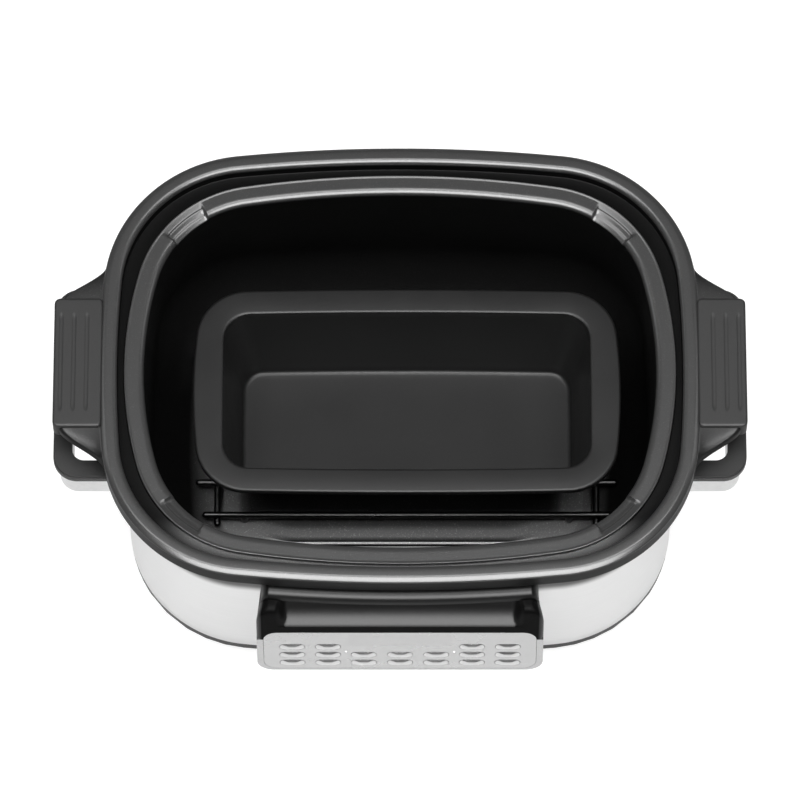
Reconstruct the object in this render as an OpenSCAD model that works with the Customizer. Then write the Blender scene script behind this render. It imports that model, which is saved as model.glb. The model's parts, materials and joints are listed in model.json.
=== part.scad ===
// Countertop multicooker with its lid off: an oval non-stick pot in a heated steel base,
// holding a wire rack and a loaf pan. Millimetres, +Z up, the table at Z = 0, the panel towards -Y.

/* [Pot] */
// Width of the pot over its flange, without the ears
pot_w = 345; // [336:1:360]
// Depth of the pot over its flange
pot_d = 272; // [262:1:284]
// Height of the flange top above the table
rim_z = 158; // [154:1:170]
// Radius of the long front and back sides
long_r = 920; // [700:10:1200]
// Radius of the short left and right sides
short_r = 640; // [450:10:900]
// Radius of the corners
corner_r = 86; // [78:1:92]
// Thickness of the pot's casting
pot_wall = 3; // [2.5:0.1:3.5]
// Width of the raised flange
flange_w = 9; // [8:0.5:12]
// Height of the flange's outer skirt
flange_h = 15; // [14:0.5:18]
// Width of the groove that takes the lid's rim
groove_w = 5; // [3:0.5:6]
// Depth of the groove below the flange top
groove_deep = 10; // [9:0.5:12]
// Width of the ledge inside the groove
ledge_w = 11.5; // [10:0.5:13]
// Drop from the flange top to the ledge
ledge_drop = 7.5; // [6:0.5:8.5]
// Radius of the ledge's inner edge
ledge_r = 4; // [3:0.5:5]
// Height of the pot's floor above the table
pot_floor_z = 39; // [37:0.5:44]
// How far the wall leans in from top to bottom
wall_lean = 3; // [1:0.5:5]
// Radius between the wall and the floor
floor_r = 36; // [32:1:38]
// Length of each pour recess in the corners of the ledge
recess_l = 30; // [20:1:34]
// Depth of the pour recesses at the ledge's inner edge
recess_deep = 3; // [2:0.5:3.5]
// Depth of the pour recesses at the crease across them
crease_deep = 1.3; // [0.6:0.1:1.8]

/* [Ears and grips] */
// Reach of each ear beyond the flange
ear_reach = 25; // [20:1:28]
// Thickness of the ears
ear_t = 9; // [8:0.5:10]
// Drop from the flange top to the top of an ear
ear_drop = 3.2; // [2.8:0.1:4]
// Length over which an ear flares into the flange
ear_flare = 28; // [22:1:32]
// Rounding of the edge of an ear
ear_edge = 2.5; // [1.5:0.5:3.5]
// Length of a grip along its ear
grip_l = 80; // [72:1:84]
// Thickness of the grip's rubber
grip_t = 3; // [2.5:0.1:4]
// Radius of the grip's corners
grip_r = 3; // [2:0.5:6]
// Number of grooves along a grip
grip_grooves = 3; // [2:1:4]
// Length of the grooves in a grip
groove_l = 59; // [40:1:64]
// Width of the grooves in a grip
rib_gap = 2.4; // [1.5:0.1:3]
// Depth of the grooves in a grip
rib_deep = 1; // [0.5:0.1:1.5]

/* [Base] */
// Distance of the steel wrap in from the flange
wrap_inset = 10; // [8:0.5:11]
// Thickness of the steel wrap
wrap_t = 0.8; // [0.6:0.1:1.2]
// Height of the wrap's bottom edge above the table
wrap_z = 12; // [10:0.5:14]
// Height of the collar above the wrap
collar_h = 11; // [8:0.5:14]
// Depth of the collar's spigot inside the wrap
spigot_h = 6; // [4:0.5:8]
// Thickness of the plastic walls
wall_t = 2.5; // [2:0.1:3]
// Gap between the pot and the heating well
well_gap = 3; // [2.5:0.1:4]
// Thickness of the well's sheet
well_t = 0.8; // [0.6:0.1:1]
// Height of the feet
foot_h = 5; // [4:0.5:6]
// Radius of the feet
foot_r = 12; // [9:0.5:14]
// Distance of each foot out from the corner's centre
foot_out = 40; // [30:1:48]
// Number of cooling slots in the tray
vent_count = 9; // [5:2:13]
// Width of a cooling slot
vent_w = 4; // [3:0.5:5]
// Length of a cooling slot
vent_l = 36; // [20:1:44]

/* [Heating] */
// Length of the heating plate
plate_l = 190; // [170:1:196]
// Width of the heating plate
plate_w = 120; // [108:1:124]
// Thickness of the heating plate
plate_t = 6; // [5:0.5:6.5]
// Diameter of the tubular element
element_d = 6.6; // [5.5:0.1:7]
// Distance of the element in from the plate's edge
element_in = 18; // [14:1:24]
// Radius of the temperature sensor's cap
sensor_r = 12; // [9:0.5:14]

/* [Base handles] */
// Reach of a base handle beyond the flange
handle_out = 29; // [27:1:34]
// Length of a base handle
handle_l = 119; // [105:1:124]
// Width of the handle's bar
handle_bar = 11; // [9:0.5:13]
// Thickness of the handle's cap
handle_t = 5.5; // [4:0.5:8]
// Drop from the flange top to the top of the handle
handle_drop = 33; // [28:1:38]
// Outer corner radius of the handle
handle_r = 14; // [10:1:18]
// Height of the bright skirt under the handle
skirt_h = 24; // [16:1:28]
// Distance of the skirt in from the handle's edge
skirt_in = 3; // [2:0.5:5]

/* [Control panel] */
// Width of the control housing
panel_w = 166; // [160:1:180]
// Length of the bright face from top to bottom
face_l = 41; // [38:0.5:46]
// Lean of the face back from upright
face_tilt = 10; // [8:1:16]
// Distance of the face's middle in front of the wrap
face_out = 26.5; // [24:0.5:30]
// Drop from the flange top to the middle of the face
face_drop = 70; // [68:0.5:74]
// Thickness of the face plate
face_t = 2.5; // [2:0.1:3]
// Edge of the housing that shows round the face
face_edge = 2; // [1:0.1:2.5]
// Corner radius of the face
face_r = 8; // [7:0.5:12]
// Height of the dark strip between the face's edge and the finger cove
strip_h = 4; // [2:0.5:6]
// Gap between the flange and the housing's top ledge
ledge_gap = 3; // [2:0.5:5]
// Reach of the housing's top ledge in front of the wrap
ledge_out = 16; // [14:0.5:17]
// Thickness of the housing's top ledge
ledge_t = 7.5; // [6:0.5:9]
// Depth of the finger cove under the ledge
cove_deep = 6.5; // [4:0.5:8]
// Depth of the bright bezel round the face
bezel_deep = 9; // [6:0.5:12]
// Width of a button
button_w = 15; // [12:0.5:17]
// Height of a button
button_h = 6.4; // [5:0.1:6.6]
// How far a button stands proud of the face
button_proud = 1.2; // [0.8:0.1:1.6]
// Travel of a button
button_travel = 0.8; // [0.4:0.1:0.9]
// Spacing of the three middle button columns
column_pitch = 21; // [19:0.5:22]
// Distance of the outer buttons in from the face's ends
button_in = 9; // [8:0.5:11]
// Spacing of the button rows
row_pitch = 9.1; // [8.9:0.1:9.5]
// Height of the lowest row above the face's bottom edge
row_up = 6.6; // [6.3:0.1:9]
// Width of the display window
display_w = 59; // [50:1:62]
// Height of the display window
display_h = 13; // [10:0.5:14]

/* [Rack and pan] */
// Diameter of the rack's wires
wire_d = 4; // [3:0.1:4.4]
// Number of wires across the rack
rack_wires = 6; // [4:1:7]
// Spacing of the rack's wires
wire_pitch = 20.5; // [14:0.5:20.5]
// Length of the rack's wires
rack_l = 250; // [236:1:254]
// How much shorter the rack's outer wires are at each end
wire_trim = 4; // [0:0.5:8]
// Distance between the rack's rails
rail_span = 224; // [200:1:228]
// Distance between the rack's legs
leg_span = 192; // [160:1:194]
// Height of the rack's top above the pot's floor
rack_h = 11; // [10:0.5:20]
// Width of the loaf pan over its rim
pan_w = 250; // [236:1:262]
// Depth of the loaf pan over its rim
pan_d = 128; // [120:1:140]
// Height of the loaf pan
pan_h = 68; // [50:1:80]
// Width of the pan's mouth
mouth_w = 216; // [204:1:220]
// Depth of the pan's mouth
mouth_d = 100; // [90:1:104]
// How far the pan's walls lean in from mouth to floor
pan_lean = 10.5; // [5:0.5:12]
// Thickness of the pan's sheet
pan_t = 1; // [0.8:0.1:1.4]
// Height of the pan's turned-down edge
pan_lip = 4; // [3:0.5:6]
// How far the rack and pan stand to the right of the pot's middle
load_x = 4; // [-4:0.5:4]
// How far the rack and pan stand in front of the pot's middle
load_y = 2; // [-3:0.5:3]

/* [Fits] */
// Gap under a part that lifts out
seat_gap = 0.3; // [0.2:0.05:0.5]
// Gap round fitted and sliding pieces
fit_gap = 0.2; // [0.15:0.05:0.3]

/* [Hidden] */
$fn = 64;
half_w = pot_w / 2;
half_d = pot_d / 2;

// How far a cutting shape passes the faces that it cuts, and a spare length for cuts that run right out
over = 1;
far = 400;

// Gap between the tubular element and the well's floor
element_gap = 2;

// Heights, from the flange down to the table
lid_ledge_z = rim_z - ledge_drop;
under_z = rim_z - groove_deep - pot_wall;
pot_bottom_z = pot_floor_z - pot_wall;
collar_top = under_z - seat_gap;
wrap_top = collar_top - collar_h;
plate_top = pot_bottom_z - seat_gap;
plate_z = plate_top - plate_t;
element_z = plate_z - fit_gap - element_d / 2;
well_floor_z = element_z - element_d / 2 - element_gap - well_t;
tray_floor_z = foot_h + wall_t;
rack_top = pot_floor_z + seat_gap + rack_h;
pan_z = rack_top + seat_gap;
handle_top = rim_z - handle_drop;
face_z = rim_z - face_drop;
ledge_z = rim_z - flange_h - ledge_gap;

// Distances in from the flange's outline
ledge_edge = flange_w + groove_w;
pot_in = ledge_edge + ledge_w;
pot_out = pot_in - pot_wall;
well_in = pot_out - well_gap;
spigot_in = wrap_inset + wrap_t + fit_gap;

// Ears and grips
ear_x = half_w + ear_reach;
ear_half = grip_l / 2;
ear_top = rim_z - ear_drop;
grip_top = ear_top + fit_gap + grip_t;
grip_h = ear_t + 2 * (fit_gap + grip_t);
grip_x = half_w + 0.5 * fit_gap;
grip_w = ear_x + fit_gap + grip_t - grip_x;

// Control panel
wrap_front = -(half_d - wrap_inset);
face_y = wrap_front - face_out;
face_w = panel_w - 4 * face_edge;
button_rows = 3;
button_columns = 7;
lip = 0.75;
lip_t = 1;
lip_top = -face_t - seat_gap;
switch_top = lip_top - lip_t - button_travel - seat_gap;
plunger_h = 1;
switch_h = 3.5;
switch_w = 6;
board_t = 1.6;
board_top = switch_top - plunger_h - switch_h;
board_gap = 1.5;
pocket_z = board_top - board_t - board_gap;
display_edge = 2.5;
display_y = face_l / 2 - display_h / 2 - display_edge;
divider_w = 0.8;
divider_h = 0.3;

// Front edge of the panel, and the shift that centres the whole cooker over its origin
front_y = face_y - (face_l / 2 + face_edge) * sin(face_tilt);
centre_y = (half_d + front_y) / 2;

// A button's name has its column's letter and its row, counted from the top
column_names = "abcdefg";
function has_button(column, row) = row > 0 || column < 2 || column > 4;
BUTTONS = [
    for (column = [0 : button_columns - 1], row = [0 : button_rows - 1])
    if (has_button(column, row)) [str("button_", column_names[column], row + 1), column, row]
];

// A rounded outline of four tangent side arcs and four corner arcs, as
// [half width, half depth, long side radius, short side radius, corner radius]
pot_frame = [half_w, half_d, long_r, short_r, corner_r];

function corner_centre(f) =
    let (sx = f[0] - f[3], ly = f[1] - f[2], u = f[2] - f[4], w = f[3] - f[4], d = norm([sx, ly]),
        along = (u * u - w * w + d * d) / (2 * d), aside = sqrt(u * u - along * along))
    [(sx * along - ly * aside) / d, ly - (ly * along + sx * aside) / d];

// The angle where a short side ends, and the angle at which a long side begins
function short_angle(f) = let (c = corner_centre(f)) atan2(c.y, c.x - f[0] + f[3]);
function long_angle(f) = let (c = corner_centre(f)) 90 - atan2(c.x, c.y - f[1] + f[2]);

// A station is the centre, radius and angle of one point of the outline's first quarter
function station(f, a) =
    let (c = corner_centre(f))
    a <= short_angle(f) ? [f[0] - f[3], 0, f[3], a] :
    a <= long_angle(f) ? [c.x, c.y, f[4], a] : [0, f[1] - f[2], f[2], a];
function place(s, off) = [s[0] + (s[2] + off) * cos(s[3]), s[1] + (s[2] + off) * sin(s[3])];
function flip(p, x, y) = len(p) == 3 ? [p.x * x, p.y * y, p.z] : [p.x * x, p.y * y];

// The whole loop from its first quarter, which starts on the X axis and ends on the Y axis
function unfold(q) =
    let (n = len(q))
    concat(q, [for (i = [n - 2 : -1 : 0]) flip(q[i], -1, 1)], [for (i = [1 : n - 1]) flip(q[i], -1, -1)],
        [for (i = [n - 2 : -1 : 1]) flip(q[i], 1, -1)]);

// The angle on the pot's outline at a height y above the X axis
pot_corner = corner_centre(pot_frame);
pot_short = short_angle(pot_frame);
pot_long = long_angle(pot_frame);
function angle_at(y) =
    y <= short_r * sin(pot_short) ? asin(y / short_r) : asin((y - pot_corner.y) / corner_r);

// Stations of the pot: close together along the ears' flares and at the ends of the pour recesses
recess_half = recess_l / (corner_r - ledge_edge - ledge_w / 2) * 90 / PI;
crease_in = 4.5;
recess_ramp = 1.5;
recess_mid = (pot_short + pot_long) / 2;
recess_from = recess_mid - recess_half;
recess_to = recess_mid + recess_half;
flare_steps = 6;
corner_steps = 3;
ear_ys = concat([0, ear_half / 2], [for (k = [0 : flare_steps]) ear_half + ear_flare * k / flare_steps]);
ear_angles = [for (y = ear_ys) angle_at(y)];
ear_end = max(pot_short, ear_angles[len(ear_angles) - 1]);
recess_angles = [recess_from + recess_ramp, recess_mid, recess_to - recess_ramp];
pot_angles = concat(
    ear_angles,
    [for (k = [1 : corner_steps]) ear_end + (recess_from - ear_end) * k / corner_steps],
    recess_angles,
    [for (k = [0 : corner_steps]) recess_to + (pot_long - recess_to) * k / corner_steps],
    [for (k = [1 : corner_steps]) pot_long + (90 - pot_long) * k / corner_steps]);
function ear_blend(y) =
    y <= ear_half ? 1 : y >= ear_half + ear_flare ? 0 : (1 + cos(180 * (y - ear_half) / ear_flare)) / 2;
function in_recess(a) = a > recess_from + recess_ramp / 2 && a < recess_to - recess_ramp / 2 ? 1 : 0;

// The pot's outline, moved out by off
function pot_loop(off) = unfold([for (a = pot_angles) place(station(pot_frame, a), off)]);

// One ring of the pot: distance out, height, place on the ear and its height, and fall in the recess
function pot_ring(r) = unfold([
    for (a = pot_angles)
    let (s = station(pot_frame, a), p = place(s, r[0]), e = r[2] == 0 ? 0 : ear_blend(place(s, 0).y))
    [p.x + e * (r[2] - p.x), p.y, r[1] + e * (r[3] - r[1]) - r[4] * in_recess(a)]
]);

// Rings of a bend from the floor to the wall
bend_steps = 4;
function bend(out, z, r, steps) = [
    for (k = steps) let (a = 90 * k / bend_steps) [out + r * sin(a), z - r * cos(a), 0, 0, 0]
];

// A closed skin through rings of equal length, with flat ends
module loft(rings) {
    n = len(rings[0]);
    last = (len(rings) - 1) * n;
    sides = [
        for (k = [0 : len(rings) - 2], i = [0 : n - 1])
        let (a = k * n + i, b = k * n + (i + 1) % n)
        each [[a, b, b + n], [a, b + n, a + n]]
    ];
    caps = [[for (i = [n - 1 : -1 : 0]) i], [for (i = [0 : n - 1]) last + i]];
    polyhedron(points = [for (r = rings) each r], faces = concat(sides, caps), convexity = 8);
}

// A wall that follows the pot's outline, between two distances in from the flange
module wall(outer, inner, z, h) {
    translate([0, 0, z]) linear_extrude(h) difference() {
        polygon(pot_loop(-outer));
        polygon(pot_loop(-inner));
    }
}
module slab(inset, z, h) {
    translate([0, 0, z]) linear_extrude(h) polygon(pot_loop(-inset));
}

// A flat outline with round ends, and one with round corners
module stadium(l, w) {
    square([l - w, w], center = true);
    for (side = [-1, 1]) translate([side * (l - w) / 2, 0]) circle(d = w);
}
module rounded(l, w, r) {
    square([l - 2 * r, w], center = true);
    square([l, w - 2 * r], center = true);
    for (x = [-1, 1], y = [-1, 1]) translate([x * (l / 2 - r), y * (w / 2 - r)]) circle(r = r);
}
module tube_x(d, l) {
    rotate([0, 90, 0]) cylinder(d = d, h = l, center = true);
}
module tube_y(d, l) {
    rotate([90, 0, 0]) cylinder(d = d, h = l, center = true);
}

// Colour a piece and set it in the shared frame
module piece(tint) {
    color(tint) translate([0, -centre_y, 0]) children();
}
module on_side(side) {
    mirror([side < 0 ? 1 : 0, 0, 0]) children();
}

// The face's own frame: X across, Y up the face, Z out of it
module on_face() {
    translate([0, face_y, face_z]) rotate([90 - face_tilt, 0, 0]) children();
}
middle_column = (button_columns - 1) / 2;
end_x = face_w / 2 - button_in - button_w / 2;
function button_x(column) =
    let (side = sign(column - middle_column), k = abs(column - middle_column))
    side * (k <= 1 ? k * column_pitch : k == middle_column ? end_x : (end_x + column_pitch) / 2);
function button_y(row) = -face_l / 2 + row_up + (button_rows - 1 - row) * row_pitch;

// Posts that carry the well, and the corners that carry the feet
post_r = 4.5;
post_out = 30;
post_in = 15;
post_x = plate_l / 2 + post_out;
post_y = plate_w / 2 - post_in;
screw_r = 1.5;
screw_head_r = 3.2;
screw_head_h = 2;
module at_posts() {
    for (x = [-1, 1], y = [-1, 1]) translate([x * post_x, y * post_y, 0]) children();
}
module at_feet() {
    reach = foot_out * sqrt(0.5);
    for (x = [-1, 1], y = [-1, 1])
        translate([x * (pot_corner.x + reach), y * (pot_corner.y + reach), 0]) children();
}

// Power board between the tray and the well's floor
board_l = 100;
board_w = 50;
board_y = 60;
board_lift = 3;
board_z = tray_floor_z + board_lift;
board_post_r = 3;
board_post_in = 6;
module at_board_posts() {
    for (x = [-1, 1], y = [-1, 1])
        translate([x * (board_l / 2 - board_post_in), board_y + y * (board_w / 2 - board_post_in), 0])
            children();
}

tray_in = wrap_inset + seat_gap;
vent_pitch = 2.5 * vent_w;
module base_tray() {
    piece("#1b1b1c") difference() {
        union() {
            slab(tray_in, foot_h, wall_t);
            wall(tray_in, tray_in + wall_t, foot_h, wrap_z - foot_h);
            wall(spigot_in, spigot_in + wall_t, foot_h, wrap_z + spigot_h - foot_h);
            at_posts() translate([0, 0, foot_h]) cylinder(r = post_r, h = well_floor_z - foot_h);
            at_board_posts() translate([0, 0, foot_h]) cylinder(r = board_post_r, h = board_z - foot_h);
        }
        at_posts() translate([0, 0, foot_h - over]) {
            cylinder(r = screw_r + fit_gap, h = well_floor_z);
            cylinder(r = screw_head_r + fit_gap, h = screw_head_h + over + fit_gap);
        }
        for (k = [0 : vent_count - 1])
            translate([(k - (vent_count - 1) / 2) * vent_pitch, -post_y, foot_h - over])
                linear_extrude(wall_t + 2 * over) rotate(90) stadium(vent_l, vent_w);
    }
}

foot_edge = 1;
module rubber_feet() {
    piece("#161616") at_feet() rotate_extrude()
        polygon([[0, 0], [foot_r - 2 * foot_edge, 0], [foot_r - foot_edge, foot_edge], [foot_r, foot_h],
            [0, foot_h]]);
}

screw_tip = 3;
module tray_screws() {
    piece("#8b8d90") at_posts() translate([0, 0, foot_h]) {
        cylinder(r = screw_head_r, h = screw_head_h);
        cylinder(r = screw_r, h = well_floor_z + well_t + screw_tip - foot_h);
    }
}

gland_z = 32;
gland_r = 6;
wire_hole = [40, 16];
module steel_wrap() {
    piece("#d9dadb") difference() {
        wall(wrap_inset, wrap_inset + wrap_t, wrap_z, wrap_top - wrap_z);
        translate([0, half_d - wrap_inset, gland_z]) tube_y(2 * (gland_r + fit_gap), 4 * over);
        translate([0, wrap_front, face_z]) cube([wire_hole.x, 4 * over, wire_hole.y], center = true);
    }
}

module top_collar() {
    piece("#1d1d1e") union() {
        wall(wrap_inset, well_in, wrap_top, collar_h);
        wall(spigot_in, spigot_in + wall_t, wrap_top - spigot_h, spigot_h + over);
    }
}

pin_x = 8;
pin_d = 4.4;
pin_gap = 1;
stem_r = 4;
element_r = plate_w / 2 - element_in;
module heating_well() {
    piece("#a9abad") difference() {
        union() {
            wall(well_in - well_t, well_in, well_floor_z, wrap_top - well_floor_z);
            slab(well_in - well_t / 2, well_floor_z, well_t);
        }
        translate([0, 0, well_floor_z - over]) linear_extrude(well_t + 2 * over) {
            circle(stem_r + fit_gap);
            at_posts() circle(screw_r + fit_gap);
            for (x = [-1, 1]) translate([x * pin_x, -element_r]) circle(pin_d / 2 + pin_gap);
        }
    }
}

plate_foot_r = 5;
plate_foot_in = 2;
sensor_gap = 2;
module heating_plate() {
    foot_y = plate_w / 2 - plate_foot_r - plate_foot_in;
    foot_low = well_floor_z + well_t;
    piece("#b4b5b6") difference() {
        union() {
            translate([0, 0, plate_z]) linear_extrude(plate_t) stadium(plate_l, plate_w);
            for (x = [-1, 1], y = [-1, 1])
                translate([x * (plate_l - plate_w) / 2, y * foot_y, foot_low])
                    cylinder(r = plate_foot_r, h = plate_z + plate_t / 2 - foot_low);
        }
        translate([0, 0, plate_z - over]) cylinder(r = sensor_r + sensor_gap, h = plate_t + 2 * over);
    }
}

pin_l = 14;
module heating_element() {
    run = plate_l - plate_w;
    piece("#6d6a66") translate([0, 0, element_z]) {
        for (side = [0, 1]) mirror([side, 0, 0]) {
            translate([run / 2, 0, 0]) rotate_extrude(start = -90, angle = 180)
                translate([element_r, 0]) circle(d = element_d);
            translate([run / 4, element_r, 0]) tube_x(element_d, run / 2);
            translate([(run / 2 + pin_x - pin_d) / 2, -element_r, 0])
                tube_x(element_d, run / 2 - pin_x + pin_d);
            translate([pin_x, -element_r, -pin_l]) cylinder(d = pin_d, h = pin_l);
        }
    }
}

// The sensor is held up against the pot by its spring, and its clip stops it under the well's floor
cap_h = 5;
clip_r = 7;
clip_t = 1;
clip_z = well_floor_z - fit_gap - clip_t;
cap_t = 1;
cap_top_t = 1.5;
stem_tip = 2;
module sensor_cap() {
    tip = clip_z - stem_tip - plate_top;
    inner = sensor_r - cap_t;
    piece("#c2c3c4") translate([0, 0, plate_top]) rotate_extrude()
        polygon([[0, 0], [inner, 0], [sensor_r, -cap_t], [sensor_r, -cap_h], [inner, -cap_h],
            [inner, -cap_top_t], [stem_r, -cap_top_t], [stem_r, tip], [0, tip]]);
}
module sensor_clip() {
    piece("#77797c") translate([0, 0, clip_z]) difference() {
        cylinder(r = clip_r, h = clip_t);
        translate([0, 0, -over]) cylinder(r = stem_r + fit_gap / 2, h = clip_t + 2 * over);
    }
}

spring_wire = 1.2;
spring_turns = 4;
spring_r = (stem_r + sensor_r - cap_t) / 2;
spring_sides = 6;
spring_steps = 16;
module sensor_spring() {
    low = well_floor_z + well_t + spring_wire / 2 + fit_gap;
    rise = plate_top - cap_top_t - spring_wire / 2 - fit_gap - low;
    rings = [
        for (k = [0 : spring_turns * spring_steps])
        let (turn = 360 * k / spring_steps, z = low + rise * k / (spring_turns * spring_steps))
        [
            for (j = [spring_sides - 1 : -1 : 0])
            let (out = spring_r + spring_wire / 2 * cos(360 * j / spring_sides))
            [out * cos(turn), out * sin(turn), z + spring_wire / 2 * sin(360 * j / spring_sides)]
        ]
    ];
    piece("#8d8f92") loft(rings);
}

// The board carries a capacitor, a coil and a relay, side by side
capacitor_d = 12;
coil_l = 22;
coil_w = 26;
relay_l = 18;
relay_w = 16;
part_gap = 8;
head_room = 1;
module power_board() {
    part_h = well_floor_z - board_z - board_t - head_room;
    piece("#2f5a3c") translate([0, board_y, board_z]) {
        translate([0, 0, board_t / 2]) cube([board_l, board_w, board_t], center = true);
        translate([0, 0, board_t]) linear_extrude(part_h) {
            translate([-coil_l / 2 - part_gap - capacitor_d / 2, 0]) circle(d = capacitor_d);
            square([coil_l, coil_w], center = true);
            translate([coil_l / 2 + part_gap + relay_l / 2, 0]) square([relay_l, relay_w], center = true);
        }
    }
}

gland_bore = 3.4;
gland_flange = 3;
gland_tail = 4;
gland_nose = 6;
module cord_gland() {
    piece("#141415") translate([0, half_d - wrap_inset, gland_z]) rotate([-90, 0, 0]) difference() {
        union() {
            translate([0, 0, fit_gap]) cylinder(r = gland_r + gland_flange, h = gland_flange);
            translate([0, 0, -wrap_t - gland_tail])
                cylinder(r = gland_r, h = wrap_t + gland_tail + fit_gap + gland_nose);
        }
        cylinder(r = gland_bore, h = far, center = true);
    }
}

// A base handle is a black cap on a bright skirt; both stop at the steel wrap
handle_x = half_w + handle_out;
handle_root = 40;
cap_round = 1.5;
module handle_plan(inset) {
    root = half_w - wrap_inset - handle_root;
    long = handle_x - inset - root;
    window = long + inset - handle_bar;
    difference() {
        translate([root + long / 2, 0]) rounded(long, handle_l - 2 * inset, handle_r - inset);
        translate([root + window / 2 - handle_r, 0])
            rounded(window + 2 * handle_r, handle_l - 2 * handle_bar, handle_r / 2);
        polygon(pot_loop(fit_gap - wrap_inset));
    }
}
module handle_cap(side) {
    piece("#1c1c1d") on_side(side) translate([0, 0, handle_top - handle_t]) {
        linear_extrude(handle_t - cap_round) handle_plan(0);
        translate([0, 0, handle_t - cap_round]) linear_extrude(cap_round) handle_plan(cap_round / 2);
    }
}
module handle_skirt(side) {
    piece("#d3d4d5") on_side(side) translate([0, 0, handle_top - handle_t - skirt_h])
        linear_extrude(skirt_h) handle_plan(skirt_in);
}

// A point of the face's frame in the side view
function face_point(y, z) = [face_y + y * sin(face_tilt) - z * cos(face_tilt),
    face_z + y * cos(face_tilt) + z * sin(face_tilt)];
cove_foot = face_point(face_l / 2 + face_edge + strip_h, 0);
face_chin = face_point(-face_l / 2 - face_edge, 0);
housing_r = face_r + face_edge;
housing_root = 30;
housing_foot_z = wrap_z + 12;
chin_in = 20;
cheek_z = ledge_z - ledge_t / 2;
cheek_w = 14;
cove_z = ledge_z - ledge_t;
cove_r = 4;
cove_steps = 6;
shoulder_in = 2;
shoulder_r = 10;
ledge_round = 1.5;

// The housing's side view: the face's plane runs up to the ledge, and its underside falls back to the wrap
module housing_side() {
    brow = face_point((cheek_z - face_z) / cos(face_tilt), 0);
    polygon([[wrap_front + housing_root, cheek_z], brow, face_chin, [face_chin.x + chin_in, housing_foot_z],
        [wrap_front + housing_root, housing_foot_z]]);
}

// The cove's side view: a quarter of an ellipse from under the ledge out to the strip above the face
module cove_side() {
    back = wrap_front - ledge_out + cove_deep;
    top = cheek_z + over;
    polygon(concat([[cove_foot.x - far, cove_foot.y], [cove_foot.x - far, top], [back, top]], [
        for (k = [0 : cove_steps])
        let (a = 90 * k / cove_steps)
        [back + (cove_foot.x - back) * (1 - cos(a)), cove_z + (cove_foot.y - cove_z) * sin(a)]
    ]));
}
module housing_ledge(inset) {
    intersection() {
        polygon(pot_loop(ledge_out - wrap_inset - inset));
        translate([0, wrap_front + (housing_root - ledge_out) / 2])
            rounded(panel_w - 2 * (shoulder_in + inset), ledge_out + housing_root, shoulder_r);
    }
}
module control_housing() {
    tall = 3 * face_l;
    cove_l = panel_w - 2 * cheek_w;
    piece("#121213") difference() {
        union() {
            difference() {
                intersection() {
                    rotate([90, 0, 90]) linear_extrude(panel_w, center = true) housing_side();
                    on_face() linear_extrude(far, center = true)
                        translate([0, tall / 2 - face_l / 2 - face_edge]) rounded(panel_w, tall, housing_r);
                    translate([0, face_chin.x + far / 2, 0]) linear_extrude(rim_z)
                        rounded(panel_w, far, cove_r);
                }
                intersection() {
                    rotate([90, 0, 90]) linear_extrude(cove_l, center = true) cove_side();
                    translate([0, wrap_front - ledge_out + cove_deep - far / 2, 0]) linear_extrude(rim_z)
                        rounded(cove_l, far, cove_r);
                }
            }
            translate([0, 0, cove_z]) linear_extrude(ledge_t - ledge_round) housing_ledge(0);
            translate([0, 0, ledge_z - ledge_round]) linear_extrude(ledge_round)
                housing_ledge(ledge_round / 2);
        }
        slab(wrap_inset - fit_gap, 0, rim_z);
        on_face() {
            translate([0, 0, -face_t]) linear_extrude(far)
                rounded(face_w + 2 * fit_gap, face_l + 2 * fit_gap, face_r + fit_gap);
            translate([0, 0, -bezel_deep - fit_gap]) linear_extrude(far) bezel_plan(fit_gap, over);
            difference() {
                translate([0, 0, pocket_z]) linear_extrude(-pocket_z)
                    rounded(face_w - 2 * pocket_in, face_l - pocket_in, face_r - pocket_in / 2);
                at_panel_posts() translate([0, 0, pocket_z - over])
                    cylinder(d = panel_post_d, h = board_top - board_t - pocket_z + over);
            }
        }
    }
}

// The pocket behind the face, and the posts in it that carry the board
pocket_in = 4;
panel_post_d = 5;
panel_post_x = 14;
panel_post_y = 8;
module at_panel_posts() {
    for (x = [-1, 1], y = [-1, 1])
        translate([x * (face_w / 2 - panel_post_x), y * (face_l / 2 - panel_post_y), 0]) children();
}

// The bezel runs down both sides of the face and under it; grow widens it for the cut that takes it
module bezel_plan(gap, grow) {
    difference() {
        rounded(panel_w + 2 * grow, face_l + 2 * (face_edge + grow), housing_r + grow);
        rounded(face_w + 2 * fit_gap, face_l + 2 * fit_gap, face_r + fit_gap);
        translate([0, face_l / 2 - face_r + gap + far / 2]) square(far, center = true);
    }
}
module face_bezel() {
    piece("#d6d7d8") on_face() translate([0, 0, -bezel_deep]) linear_extrude(bezel_deep) bezel_plan(0, 0);
}

module each_button() {
    for (b = BUTTONS) translate([button_x(b[1]), button_y(b[2]), 0]) children();
}
module control_face() {
    divider_x = (button_x(middle_column + 1) + button_x(middle_column + 2)) / 2;
    piece("#c3c4c6") on_face() {
        translate([0, 0, -face_t]) linear_extrude(face_t) difference() {
            rounded(face_w, face_l, face_r);
            each_button() stadium(button_w, button_h);
            translate([0, display_y]) square([display_w, display_h], center = true);
        }
        for (side = [-1, 1]) translate([side * divider_x, button_y(button_rows / 2), 0])
            cube([divider_w, row_pitch + button_h, 2 * divider_h], center = true);
    }
}

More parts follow.
